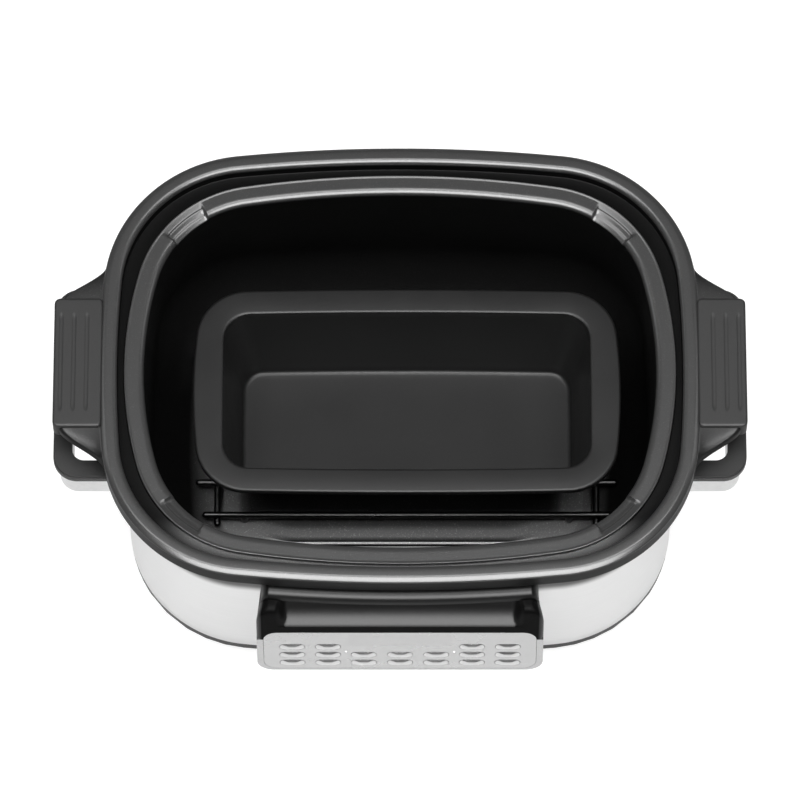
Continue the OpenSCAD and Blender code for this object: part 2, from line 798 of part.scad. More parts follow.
window_t = 1.5;
window_sunk = 0.2;
display_frame = 2;
board_in = 3;
module display_window() {
    piece("#8f9194") on_face() translate([0, display_y, -window_t - window_sunk]) linear_extrude(window_t)
        square([display_w - 2 * fit_gap, display_h - 2 * fit_gap], center = true);
}
module display_module() {
    piece("#26282b") on_face() translate([0, display_y, board_top])
        linear_extrude(-window_t - window_sunk - fit_gap - board_top)
            square([display_w - 2 * display_frame, display_h - display_frame], center = true);
}
module control_board() {
    margin = 2 * (pocket_in + board_in);
    piece("#2f5a3c") on_face() translate([0, 0, board_top - board_t]) linear_extrude(board_t)
        rounded(face_w - margin, face_l - 2 * board_in, face_r - pocket_in);
}
module button_switches() {
    piece("#3a3b3d") on_face() each_button() translate([0, 0, board_top]) {
        translate([0, 0, switch_h / 2]) cube([switch_w, switch_w, switch_h], center = true);
        cylinder(d = switch_w / 2, h = switch_h + plunger_h);
    }
}

button_edge = 0.4;
module button(column, row) {
    fit_w = button_w - 2 * seat_gap;
    fit_h = button_h - 2 * seat_gap;
    piece("#d0d1d2") on_face() translate([button_x(column), button_y(row), 0]) {
        translate([0, 0, lip_top - lip_t]) linear_extrude(lip_t)
            stadium(button_w + 2 * lip, button_h + 2 * lip);
        translate([0, 0, lip_top - lip_t / 2])
            linear_extrude(button_proud - lip_top + lip_t / 2 - button_edge) stadium(fit_w, fit_h);
        translate([0, 0, button_proud - button_edge]) linear_extrude(button_edge)
            stadium(fit_w - 2 * button_edge, fit_h - 2 * button_edge);
    }
}

// The pot's rings run from its floor up the inside, over the ledge, groove and flange, and down outside
flange_edge = 2.2;
flange_side = 4;
flange_fall = 4.4;
skirt_t = 3.2;
skirt_edge = 1;
ear_root = half_w - fit_gap;
halfway = 1 - sqrt(0.5);
module cooking_pot() {
    bend_out = -pot_in - wall_lean - floor_r;
    bend_z = pot_floor_z + floor_r;
    edge = halfway * ledge_r;
    nose = halfway * flange_edge;
    groove_z = rim_z - groove_deep;
    skirt_z = rim_z - flange_h;
    side_z = rim_z - flange_fall;
    ear_low = ear_top - ear_t;
    // The flange's outer edge, at an angle from its top
    out = function(a) -flange_side * (1 - sin(a));
    fall = function(a) rim_z - flange_fall * (1 - cos(a));
    steps = [for (k = [0 : bend_steps]) k];
    down = [for (k = [bend_steps : -1 : 0]) k];
    rings = concat(
        bend(bend_out, bend_z, floor_r, steps),
        [
            [-pot_in, lid_ledge_z - ledge_r, 0, 0, recess_deep / 2],
            [-pot_in + edge, lid_ledge_z - edge, 0, 0, recess_deep],
            [-pot_in + ledge_r, lid_ledge_z, 0, 0, recess_deep],
            [-ledge_edge - crease_in, lid_ledge_z, 0, 0, crease_deep],
            [-ledge_edge, lid_ledge_z, 0, 0, 0],
            [-ledge_edge, groove_z, 0, 0, 0],
            [-flange_w, groove_z, 0, 0, 0],
            [-flange_w, rim_z - flange_edge, 0, 0, 0],
            [-flange_w + nose, rim_z - nose, 0, 0, 0],
            [-flange_w + flange_edge, rim_z, 0, 0, 0],
            [-flange_side, rim_z, 0, 0, 0],
            [out(40), fall(40), 0, 0, 0],
            [out(65), fall(65), ear_root, ear_top, 0],
            [0, side_z, ear_x - ear_edge, ear_top, 0],
            [0, (side_z + skirt_z) / 2, ear_x, ear_top - ear_t / 2, 0],
            [0, skirt_z + skirt_edge, ear_x - ear_edge, ear_low, 0],
            [-skirt_edge, skirt_z, ear_root, ear_low, 0],
            [-skirt_t, skirt_z, 0, 0, 0],
            [-skirt_t, under_z, 0, 0, 0],
            [-pot_out, under_z, 0, 0, 0]
        ],
        bend(bend_out, bend_z, floor_r + pot_wall, down));
    piece("#3d3e40") loft([for (r = rings) pot_ring(r)]);
}

grip_edge = 0.8;
rib_edge = 4.2;
rib_lead = 1.2;
module grip_layer(z, h, inset) {
    translate([grip_x + grip_w / 2, 0, z]) linear_extrude(h)
        rounded(grip_w - 2 * inset, grip_l - 2 * inset, grip_r - inset);
}
module grip(side) {
    pocket_l = 2 * grip_l;
    rib_pitch = (grip_w - rib_edge) / (grip_grooves - 1 + rib_lead);
    grip_low = grip_top - grip_h;
    piece("#2b2c2e") on_side(side) difference() {
        union() {
            grip_layer(grip_low, grip_h, grip_edge);
            grip_layer(grip_low + grip_edge / 2, grip_h - grip_edge, grip_edge / 4);
            grip_layer(grip_low + grip_edge, grip_h - 2 * grip_edge, 0);
        }
        translate([grip_x - grip_w, -pocket_l / 2, ear_top - ear_t - fit_gap])
            cube([grip_w + ear_x + fit_gap - grip_x, pocket_l, ear_t + 2 * fit_gap]);
        for (k = [0 : grip_grooves - 1])
            translate([grip_x + grip_w - rib_edge - k * rib_pitch, 0, grip_top - rib_deep])
                linear_extrude(rib_deep + over) rotate(90) stadium(groove_l, rib_gap);
    }
}

// Wires lie across two rails, and the outer wires stand on legs
weld = 0.4;
leg_d = wire_d + weld;
module wire_x(l) {
    tube_x(wire_d, l - wire_d);
    for (side = [-1, 1]) translate([side * (l - wire_d) / 2, 0, 0]) sphere(d = wire_d, $fn = 24);
}
module wire_rack() {
    wire_z = rack_top - wire_d / 2;
    rail_z = wire_z - wire_d + weld;
    last = rack_wires - 1;
    rail_l = last * wire_pitch + 3 * wire_d;
    foot_z = pot_floor_z + seat_gap;
    piece("#c9cacb") translate([load_x, -load_y, 0]) union() {
        for (k = [0 : last]) translate([0, (k - last / 2) * wire_pitch, wire_z])
            wire_x(k == 0 || k == last ? rack_l - 2 * wire_trim : rack_l);
        for (x = [-1, 1]) translate([x * rail_span / 2, 0, rail_z]) tube_y(wire_d, rail_l);
        for (x = [-1, 1], y = [-1, 1]) translate([x * leg_span / 2, y * last * wire_pitch / 2, foot_z])
            cylinder(d = leg_d, h = wire_z - foot_z);
    }
}

// The pan's rings run from its floor up to the mouth, over the flat rim and down outside
pan_steps = 4;
straight = 4000;
function pan_ring(w, d, bow, r, z) =
    let (f = [w / 2, d / 2, straight, bow, r], low = short_angle(f), high = long_angle(f),
        angles = concat([0, low / 2], [for (k = [0 : pan_steps]) low + (high - low) * k / pan_steps], [90]))
    unfold([for (a = angles) let (p = place(station(f, a), 0)) [p.x, p.y, z]]);
rim_bow = 330;
rim_r = 30;
mouth_r = 16;
floor_corner = 13;
pan_bend = 3;
pan_edge = 1.5;
module loaf_pan() {
    floor_w = mouth_w - 2 * pan_lean;
    floor_d = mouth_d - 2 * pan_lean;
    bend_r = pan_bend;
    top = pan_z + pan_h;
    under = top - pan_t - pan_edge / 3;
    sheet = 2 * pan_t;
    floor_top = pan_z + pan_t;
    piece("#343537") translate([load_x, -load_y, 0]) loft([
        pan_ring(floor_w - 2 * bend_r, floor_d - 2 * bend_r, straight, floor_corner - bend_r, floor_top),
        pan_ring(floor_w - bend_r / 2, floor_d - bend_r / 2, straight, floor_corner - bend_r / 4,
            floor_top + bend_r / 3),
        pan_ring(floor_w, floor_d, straight, floor_corner, floor_top + bend_r),
        pan_ring(mouth_w - pan_edge, mouth_d - pan_edge, straight, mouth_r, top - pan_edge),
        pan_ring(mouth_w + pan_edge, mouth_d + pan_edge, straight, mouth_r, top),
        pan_ring(pan_w - 2 * pan_edge, pan_d - 2 * pan_edge, rim_bow, rim_r, top),
        pan_ring(pan_w, pan_d, rim_bow, rim_r, top - pan_edge),
        pan_ring(pan_w, pan_d, rim_bow, rim_r, top - pan_lip),
        pan_ring(pan_w - sheet, pan_d - sheet, rim_bow, rim_r - pan_t, top - pan_lip),
        pan_ring(pan_w - sheet, pan_d - sheet, rim_bow, rim_r - pan_t, under),
        pan_ring(mouth_w + sheet, mouth_d + sheet, straight, mouth_r + pan_t, under),
        pan_ring(floor_w + sheet, floor_d + sheet, straight, floor_corner + pan_t, pan_z + bend_r),
        pan_ring(floor_w, floor_d, straight, floor_corner, pan_z + bend_r / 4),
        pan_ring(floor_w - 2 * bend_r, floor_d - 2 * bend_r, straight, floor_corner - bend_r, pan_z)
    ]);
}

base_tray();
rubber_feet();
tray_screws();
steel_wrap();
top_collar();
heating_well();
heating_plate();
heating_element();
sensor_cap();
sensor_spring();
sensor_clip();
power_board();
cord_gland();
handle_cap(-1);  // left_handle_cap
handle_cap(1);  // right_handle_cap
handle_skirt(-1);  // left_handle_skirt
handle_skirt(1);  // right_handle_skirt
control_housing();
face_bezel();
control_face();
display_window();
display_module();
control_board();
button_switches();
cooking_pot();
grip(-1);  // left_grip
grip(1);  // right_grip
wire_rack();
loaf_pan();
for (b = BUTTONS) button(b[1], b[2]);
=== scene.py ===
"""Looks of a countertop multicooker with its lid off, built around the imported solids.

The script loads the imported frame, gives the lofted and rounded pieces finer skins, dresses every solid
that stays as it is, and sets the floor, the lamps and the camera of the reference view.
"""
import json
import logging
import math
from dataclasses import dataclass
from enum import Enum
from typing import Any, Sequence

import bmesh
import bpy
import numpy as np
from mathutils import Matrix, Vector


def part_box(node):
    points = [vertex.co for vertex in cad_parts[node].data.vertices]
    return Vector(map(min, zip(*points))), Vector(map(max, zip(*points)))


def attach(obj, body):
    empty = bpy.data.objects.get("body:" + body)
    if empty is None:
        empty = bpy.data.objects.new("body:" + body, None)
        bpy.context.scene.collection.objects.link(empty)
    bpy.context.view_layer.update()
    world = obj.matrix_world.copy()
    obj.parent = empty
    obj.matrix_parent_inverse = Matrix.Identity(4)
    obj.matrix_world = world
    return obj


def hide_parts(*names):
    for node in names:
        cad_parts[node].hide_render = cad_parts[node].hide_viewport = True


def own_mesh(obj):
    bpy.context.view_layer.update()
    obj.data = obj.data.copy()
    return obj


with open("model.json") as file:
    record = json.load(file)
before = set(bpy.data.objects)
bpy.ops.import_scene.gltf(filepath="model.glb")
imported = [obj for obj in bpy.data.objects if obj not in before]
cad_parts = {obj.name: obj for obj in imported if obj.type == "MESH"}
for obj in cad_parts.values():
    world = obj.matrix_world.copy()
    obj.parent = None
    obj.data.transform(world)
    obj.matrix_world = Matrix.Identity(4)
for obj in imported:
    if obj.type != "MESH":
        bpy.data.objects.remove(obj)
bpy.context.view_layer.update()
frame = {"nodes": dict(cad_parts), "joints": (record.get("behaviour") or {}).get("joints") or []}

LOG = logging.getLogger("multicooker")
MM = 0.001
MERGE, SOLID_MERGE = 1e-7, 2e-6
MIX_FIRST, MIX_SECOND, MIX_RESULT = 6, 7, 2
POT_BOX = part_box("cooking_pot")
SHIFT = np.array([0.0, (POT_BOX[0].y + POT_BOX[1].y) / 2, 0.0])
Point = tuple[float, float]
Triple = tuple[float, float, float]
Colour = Triple


def to_frame(points: np.ndarray) -> np.ndarray:
    """Turn pot-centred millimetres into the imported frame's metres.

    Args:
        points: An array whose last axis holds X, Y and Z.

    Returns:
        The same points in metres, with the pot's centre moved to its place.
    """
    return np.asarray(points, float) * MM + SHIFT


class Graph:
    """A node tree with short ways to add nodes and link them."""

    def __init__(self, tree: bpy.types.NodeTree) -> None:
        """Wrap a node tree."""
        self.tree = tree

    def add(self, kind: str, inputs: dict[Any, Any] | None = None, **settings: Any) -> bpy.types.Node:
        """Add a node, set its properties and fill its inputs.

        Args:
            kind: The node's type name.
            inputs: Values or output sockets by input name or number.
            **settings: Properties of the node.

        Returns:
            The new node.
        """
        node = self.tree.nodes.new(kind)
        for name, value in settings.items():
            setattr(node, name, value)
        for key, value in (inputs or {}).items():
            if isinstance(value, bpy.types.NodeSocket):
                self.tree.links.new(value, node.inputs[key])
            else:
                node.inputs[key].default_value = value
        return node

    def math(self, operation: str, *values: Any) -> bpy.types.NodeSocket:
        """Add a Math node and return its result."""
        return self.add("ShaderNodeMath", dict(enumerate(values)), operation=operation).outputs[0]

    def link(self, source: bpy.types.NodeSocket, target: bpy.types.NodeSocket) -> None:
        """Join an output socket to an input socket."""
        self.tree.links.new(source, target)

    def join(self, *parts: bpy.types.NodeSocket) -> bpy.types.NodeSocket:
        """Add a Join Geometry node for some parts.

        Args:
            *parts: The parts' sockets.

        Returns:
            The socket of all of them together.
        """
        joined = self.add("GeometryNodeJoinGeometry")
        for part in parts:
            self.link(part, joined.inputs[0])
        return joined.outputs[0]


class Pattern(Enum):
    """The shared surface patterns that finishes choose from."""

    SPECKLE = "speckled_coat"
    GRAIN = "moulded_grain"
    BRUSH = "brushed_lines"
    CAST = "cast_skin"


class PatternLibrary:
    """Shader node groups that put out a mask, a smear and a height, each built once.

    A range is the pair of noise values that become 0 and 1.
    """

    COARSE_SHARE = 0.37
    FLECK_RANGE: Point = (0.56, 0.74)
    CLUMP_RANGE: Point = (0.40, 0.70)
    LEAST_CLUMP = 0.35
    SKIN_RANGE: Point = (0.3, 0.7)
    CELL_SHARE = 0.5
    LINE_RANGE: Point = (0.32, 0.68)
    LINE_STRETCH: Triple = (0.012, 0.012, 1.0)
    SMEAR_SCALE = 22.0
    SMEAR_RANGE: Point = (0.3, 0.7)

    @staticmethod
    def group(pattern: Pattern) -> bpy.types.NodeTree:
        """Find or build the node group of a pattern.

        Args:
            pattern: The pattern wanted.

        Returns:
            A shader node group with a Scale input and Mask, Smear and Height outputs.
        """
        found = bpy.data.node_groups.get(pattern.value)
        if found:
            return found
        tree = bpy.data.node_groups.new(pattern.value, "ShaderNodeTree")
        tree.interface.new_socket("Scale", in_out="INPUT", socket_type="NodeSocketFloat")
        for name in ("Mask", "Smear", "Height"):
            tree.interface.new_socket(name, in_out="OUTPUT", socket_type="NodeSocketFloat")
        g = Graph(tree)
        source, sink = g.add("NodeGroupInput"), g.add("NodeGroupOutput")
        place = g.add("ShaderNodeTexCoord").outputs["Object"]
        makers = {Pattern.SPECKLE: PatternLibrary._speckle, Pattern.GRAIN: PatternLibrary._grain,
                  Pattern.BRUSH: PatternLibrary._brush, Pattern.CAST: PatternLibrary._cast}
        mask, height = makers[pattern](g, place, source.outputs["Scale"])
        smear = PatternLibrary._noise(g, place, PatternLibrary.SMEAR_SCALE, detail=4.0, rough=0.6)
        for name, value in (("Mask", mask), ("Smear", smear), ("Height", height)):
            g.link(value, sink.inputs[name])
        return tree

    @staticmethod
    def _noise(g: Graph, place: Any, scale: Any, detail: float, rough: float = 0.5,
               warp: float = 0.0) -> bpy.types.NodeSocket:
        """Add a noise texture and return its value."""
        inputs = {"Vector": place, "Scale": scale, "Detail": detail, "Roughness": rough, "Distortion": warp}
        return g.add("ShaderNodeTexNoise", inputs).outputs["Fac"]

    @staticmethod
    def _spread(g: Graph, value: Any, span: Point) -> bpy.types.NodeSocket:
        """Stretch a value from a range to 0 and 1, and clamp it."""
        inputs = {"Value": value, "From Min": span[0], "From Max": span[1]}
        return g.add("ShaderNodeMapRange", inputs, clamp=True).outputs[0]

    @staticmethod
    def _speckle(g: Graph, place: Any, scale: Any) -> tuple[Any, Any]:
        """Light flecks in a dark coat, and the coat's sandy relief."""
        fine = PatternLibrary._noise(g, place, scale, detail=2.0)
        broad = g.math("MULTIPLY", scale, PatternLibrary.COARSE_SHARE)
        coarse = PatternLibrary._noise(g, place, broad, detail=1.0)
        flecks = PatternLibrary._spread(g, fine, PatternLibrary.FLECK_RANGE)
        clumps = PatternLibrary._spread(g, coarse, PatternLibrary.CLUMP_RANGE)
        share = g.math("ADD", clumps, PatternLibrary.LEAST_CLUMP)
        return g.math("MULTIPLY", flecks, share), g.math("ADD", fine, coarse)

    @staticmethod
    def _grain(g: Graph, place: Any, scale: Any) -> tuple[Any, Any]:
        """The fine even grain of moulded plastic or rubber."""
        fine = PatternLibrary._noise(g, place, scale, detail=3.0)
        cells = g.add("ShaderNodeTexVoronoi", {"Vector": place, "Scale": scale}).outputs["Distance"]
        pits = g.math("MULTIPLY", cells, PatternLibrary.CELL_SHARE)
        return PatternLibrary._spread(g, fine, PatternLibrary.SKIN_RANGE), g.math("ADD", fine, pits)

    @staticmethod
    def _brush(g: Graph, place: Any, scale: Any) -> tuple[Any, Any]:
        """Long level brush lines: quick changes up the piece, slow changes along it."""
        stretch = {"Vector": place, "Scale": PatternLibrary.LINE_STRETCH}
        stretched = g.add("ShaderNodeMapping", stretch).outputs[0]
        lines = PatternLibrary._noise(g, stretched, scale, detail=5.0, rough=0.65)
        return PatternLibrary._spread(g, lines, PatternLibrary.LINE_RANGE), lines

    @staticmethod
    def _cast(g: Graph, place: Any, scale: Any) -> tuple[Any, Any]:
        """A soft uneven skin, as on cast or rolled metal."""
        soft = PatternLibrary._noise(g, place, scale, detail=6.0, warp=0.4)
        return PatternLibrary._spread(g, soft, PatternLibrary.SKIN_RANGE), soft


@dataclass(frozen=True)
class Finish:
    """One finish: a Principled surface whose colour, gloss and relief follow a shared pattern."""

    name: str
    colour: Colour
    accent: Colour
    pattern: Pattern
    scale: float
    rough: tuple[float, float]
    relief: float
    metallic: float = 0.0
    specular: float = 0.5
    coat: float = 0.0
    coat_rough: float = 0.08

    def material(self) -> bpy.types.Material:
        """Find or build the finish's material.

        Returns:
            A material with the Principled shader and this finish's pattern.
        """
        title = f"{self.name}_finish"
        found = bpy.data.materials.get(title)
        if found:
            return found
        made = bpy.data.materials.new(title)
        made.use_nodes = True
        made.diffuse_color = (*self.colour, 1.0)
        made.node_tree.nodes.clear()
        g = Graph(made.node_tree)
        marks = g.add("ShaderNodeGroup", node_tree=PatternLibrary.group(self.pattern))
        marks.inputs["Scale"].default_value = self.scale
        shader = g.add("ShaderNodeBsdfPrincipled", {
            "Metallic": self.metallic, "Specular IOR Level": self.specular, "Coat Weight": self.coat,
            "Coat Roughness": self.coat_rough})
        self.paint(g, marks, shader)
        bump = g.add("ShaderNodeBump", {
            "Height": marks.outputs["Height"], "Strength": 1.0, "Distance": self.relief * MM})
        g.link(bump.outputs[0], shader.inputs["Normal"])
        sink = g.add("ShaderNodeOutputMaterial")
        g.link(shader.outputs[0], sink.inputs["Surface"])
        return made

    def paint(self, g: Graph, marks: bpy.types.Node, shader: bpy.types.Node) -> None:
        """Feed the shader's colour and roughness from the pattern.

        Args:
            g: The material's graph.
            marks: The pattern's group node.
            shader: The Principled shader.
        """
        g.link(self.tint(g, marks, self.colour, self.accent), shader.inputs["Base Color"])
        g.link(self.gloss(g, marks, self.rough), shader.inputs["Roughness"])

    @staticmethod
    def tint(g: Graph, marks: bpy.types.Node, colour: Colour, accent: Colour) -> bpy.types.NodeSocket:
        """Mix the accent into the colour where the pattern has a mark."""
        mix = g.add("ShaderNodeMix", {"Factor": marks.outputs["Mask"]}, data_type="RGBA")
        mix.inputs[MIX_FIRST].default_value = (*colour, 1.0)
        mix.inputs[MIX_SECOND].default_value = (*accent, 1.0)
        return mix.outputs[MIX_RESULT]

    @staticmethod
    def gloss(g: Graph, marks: bpy.types.Node, rough: tuple[float, float]) -> bpy.types.NodeSocket:
        """Spread the smear over the finish's range of roughness."""
        low, high = PatternLibrary.SMEAR_RANGE
        inputs = {"Value": marks.outputs["Smear"], "From Min": low, "From Max": high,
                  "To Min": rough[0], "To Max": rough[1]}
        return g.add("ShaderNodeMapRange", inputs, clamp=True).outputs[0]


@dataclass(frozen=True)
class PaintedLightFinish(Finish):
    """A finish whose colour is scaled by the mesh's painted light and shade attribute, and whose clear coat
    follows its shine attribute.
    """

    def paint(self, g: Graph, marks: bpy.types.Node, shader: bpy.types.Node) -> None:
        """Feed the shader's colour, roughness and coat from the pattern and the two attributes; the colour
        carries painted light and shade.

        Args:
            g: The material's graph.
            marks: The pattern's group node.
            shader: The Principled shader.
        """
        tone = g.add("ShaderNodeAttribute", attribute_name="tone").outputs["Fac"]
        shine = g.add("ShaderNodeAttribute", attribute_name="shine").outputs["Fac"]
        tinted = self.tint(g, marks, self.colour, self.accent)
        # Painted light and shade: the colour is scaled by the painted light attribute.
        painted_colour = g.add("ShaderNodeVectorMath", {0: tinted, "Scale": tone}, operation="SCALE")
        g.link(painted_colour.outputs[0], shader.inputs["Base Color"])
        g.link(self.gloss(g, marks, self.rough), shader.inputs["Roughness"])
        g.link(g.math("MULTIPLY", shine, self.coat), shader.inputs["Coat Weight"])


def grey(value: float) -> Colour:
    """A neutral colour of one linear value."""
    return (value, value, value)


POT_COAT = PaintedLightFinish("pot_coat", grey(0.034), grey(0.07), Pattern.SPECKLE, 1500.0, (0.40, 0.50), 0.03,
                       specular=0.03, coat=1.0, coat_rough=0.28)
PAN_COAT = Finish("pan_coat", grey(0.012), grey(0.018), Pattern.SPECKLE, 2200.0, (0.36, 0.44), 0.01,
                  specular=0.2)
GRIP_RUBBER = Finish("grip_rubber", grey(0.011), grey(0.015), Pattern.GRAIN, 1800.0, (0.50, 0.60), 0.02,
                     specular=0.3)
HANDLE_BLACK = Finish("handle_black", grey(0.011), grey(0.015), Pattern.GRAIN, 1500.0, (0.40, 0.50), 0.02,
                      specular=0.3)
GLOSS_BLACK = PaintedLightFinish("gloss_black", grey(0.003), grey(0.005), Pattern.GRAIN, 900.0, (0.40, 0.48), 0.004,
                          specular=0.02, coat=0.36, coat_rough=0.36)
BLACK_PLASTIC = Finish("black_plastic", grey(0.016), grey(0.022), Pattern.GRAIN, 1400.0, (0.42, 0.54), 0.03)
FOOT_RUBBER = Finish("foot_rubber", grey(0.012), grey(0.020), Pattern.GRAIN, 1600.0, (0.62, 0.74), 0.04)
WRAP_STEEL = PaintedLightFinish("wrap_steel", grey(0.69), grey(0.73), Pattern.BRUSH, 2600.0, (0.28, 0.32), 0.0,
                         metallic=1.0)
SKIRT_SILVER = Finish("skirt_silver", grey(0.76), grey(0.82), Pattern.CAST, 300.0, (0.26, 0.34), 0.002,
                      metallic=0.7)
FACE_SILVER = Finish("face_silver", grey(0.56), grey(0.59), Pattern.BRUSH, 3200.0, (0.24, 0.30), 0.0006,
                     metallic=0.9)
BEZEL_SILVER = Finish("bezel_silver", grey(0.52), grey(0.56), Pattern.CAST, 500.0, (0.18, 0.24), 0.001,
                      metallic=0.9)
BUTTON_SILVER = Finish("button_silver", grey(0.66), grey(0.70), Pattern.CAST, 900.0, (0.12, 0.18), 0.001,
                       metallic=0.95)
DISPLAY_LENS = Finish("display_lens", grey(0.54), grey(0.57), Pattern.CAST, 200.0, (0.22, 0.28), 0.0006,
                      metallic=0.9)
# Chrome darkened to near black: the dark colour is painted shade for the wires deep inside the pot.
RACK_CHROME_SHADED = Finish("rack_chrome_painted_shade", grey(0.04), grey(0.055), Pattern.CAST, 700.0, (0.26, 0.34), 0.004,
                     metallic=1.0)
ZINC_STEEL = Finish("zinc_steel", grey(0.42), grey(0.52), Pattern.CAST, 600.0, (0.30, 0.42), 0.006,
                    metallic=1.0)
WELL_SHEET = Finish("well_sheet", grey(0.46), grey(0.56), Pattern.CAST, 160.0, (0.34, 0.46), 0.006,
                    metallic=1.0)
CAST_PLATE = Finish("cast_plate", grey(0.40), grey(0.50), Pattern.CAST, 420.0, (0.42, 0.56), 0.05,
                    metallic=0.9)
ELEMENT_TUBE = Finish("element_tube", (0.10, 0.095, 0.09), (0.17, 0.155, 0.14), Pattern.CAST, 320.0,
                      (0.42, 0.56), 0.02, metallic=0.7)
CIRCUIT_BOARD = Finish("circuit_board", (0.016, 0.070, 0.032), (0.022, 0.10, 0.045), Pattern.GRAIN, 700.0,
                       (0.34, 0.44), 0.01)


@dataclass
class Skin:
    """A skin over rings of equal length, in pot-centred millimetres.

    Attributes:
        rings: Points with axes ring, station and coordinate.
        closed: Whether the last ring joins the first, instead of a flat cap at both ends.
        tone: How light each point's colour is painted, standing in for light and shade, kept as a mesh
            attribute.
        shine: How much of the clear coat each point has, kept in the same way.
    """

    rings: np.ndarray
    closed: bool = False
    tone: np.ndarray | None = None
    shine: np.ndarray | None = None

    def faces(self) -> list[tuple[int, ...]]:
        """Number the points of every face.

        Returns:
            The faces between the rings, and the two caps of a skin that isn't closed.
        """
        many, n = self.rings.shape[:2]
        made = []
        for k in range(many if self.closed else many - 1):
            a0, b0 = k * n, (k + 1) % many * n
            made += [(a0 + i, a0 + (i + 1) % n, b0 + (i + 1) % n, b0 + i) for i in range(n)]
        if not self.closed:
            made.append(tuple(reversed(range(n))))
            made.append(tuple(range((many - 1) * n, many * n)))
        return made

    def mesh(self, name: str, sharp_deg: float) -> bpy.types.Mesh:
        """Make the Blender mesh, with smooth faces and sharp edges past an angle.

        Args:
            name: The mesh's name.
            sharp_deg: The angle between faces past which an edge stays sharp.

        Returns:
            The new mesh.
        """
        made = bpy.data.meshes.new(name)
        made.from_pydata(to_frame(self.rings.reshape(-1, 3)).tolist(), [], self.faces())
        for label, values in (("tone", self.tone), ("shine", self.shine)):
            plain = np.ones(self.rings.shape[:2]) if values is None else values
            layer = made.attributes.new(label, "FLOAT", "POINT")
            layer.data.foreach_set("value", plain.ravel().astype(np.float32))
        return smoothed(made, sharp_deg)


def smoothed(mesh: bpy.types.Mesh, sharp_deg: float | None = None) -> bpy.types.Mesh:
    """Merge a closed mesh's doubled points, turn its faces outwards and shade them smoothly.

    Args:
        mesh: The mesh to change.
        sharp_deg: The angle between faces past which an edge stays sharp, if any.

    Returns:
        The same mesh.
    """
    work = bmesh.new()
    work.from_mesh(mesh)
    bmesh.ops.remove_doubles(work, verts=work.verts, dist=MERGE)
    bmesh.ops.recalc_face_normals(work, faces=work.faces)
    work.to_mesh(mesh)
    work.free()
    mesh.update()
    mesh.shade_smooth()
    if sharp_deg is not None:
        mesh.set_sharp_from_angle(angle=math.radians(sharp_deg))
    return mesh


class Piece:
    """Ways to put finished meshes into the scene and dress the solids that stay."""

    @staticmethod
    def place(name: str, mesh: bpy.types.Mesh, finish: Finish, body: str, slot: str,
              nodes: Sequence[str]) -> bpy.types.Object:
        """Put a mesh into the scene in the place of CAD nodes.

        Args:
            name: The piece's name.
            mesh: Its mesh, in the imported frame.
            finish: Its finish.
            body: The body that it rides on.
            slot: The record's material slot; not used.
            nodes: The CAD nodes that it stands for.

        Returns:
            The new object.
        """
        made = bpy.data.objects.new(name, mesh)
        bpy.context.scene.collection.objects.link(made)
        mesh.materials.clear()
        mesh.materials.append(finish.material())
        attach(made, body)
        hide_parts(*nodes)
        LOG.info("%s: %d faces on %s", name, len(mesh.polygons), body)
        return made

    @staticmethod
    def dress(node: str, finish: Finish) -> None:
        """Give a CAD node that stays its finish.

        Args:
            node: The node's name.
            finish: The finish that it gets.
        """
        solid = frame["nodes"][node]
        solid.data.materials.clear()
        solid.data.materials.append(finish.material())
        LOG.info("%s: solid kept, %s", node, finish.name)

    @staticmethod
    def rounded(node: str, body: str, slot: str, finish: Finish, width: float, segments: int = 3,
                sharp_deg: float = 34.0) -> bpy.types.Object:
        """Stand a copy of a solid with rounded edges in its place.

        Args:
            node: The CAD node to copy.
            body: The body that it rides on.
            slot: The record's material slot.
            finish: Its finish.
            width: The width of the rounded edges in millimetres.
            segments: The number of faces across an edge.
            sharp_deg: The angle past which an edge is rounded.

        Returns:
            The new object.
        """
        work = bmesh.new()
        work.from_mesh(frame["nodes"][node].data)
        bmesh.ops.remove_doubles(work, verts=work.verts, dist=SOLID_MERGE)
        mesh = bpy.data.meshes.new(f"{node}_rounded")
        work.to_mesh(mesh)
        work.free()
        for layer in [a for a in mesh.attributes if a.name == "custom_normal"]:
            mesh.attributes.remove(layer)
        mesh.shade_smooth()
        mesh.set_sharp_from_angle(angle=math.radians(sharp_deg))
        made = Piece.place(f"{node}_rounded", mesh, finish, body, slot, [node])
        bevel = made.modifiers.new("rounded_edges", "BEVEL")
        bevel.width = width * MM
        bevel.segments = segments
        bevel.limit_method = "ANGLE"
        bevel.angle_limit = math.radians(sharp_deg)
        bevel.harden_normals = True
        bevel.miter_outer = "MITER_ARC"
        return made


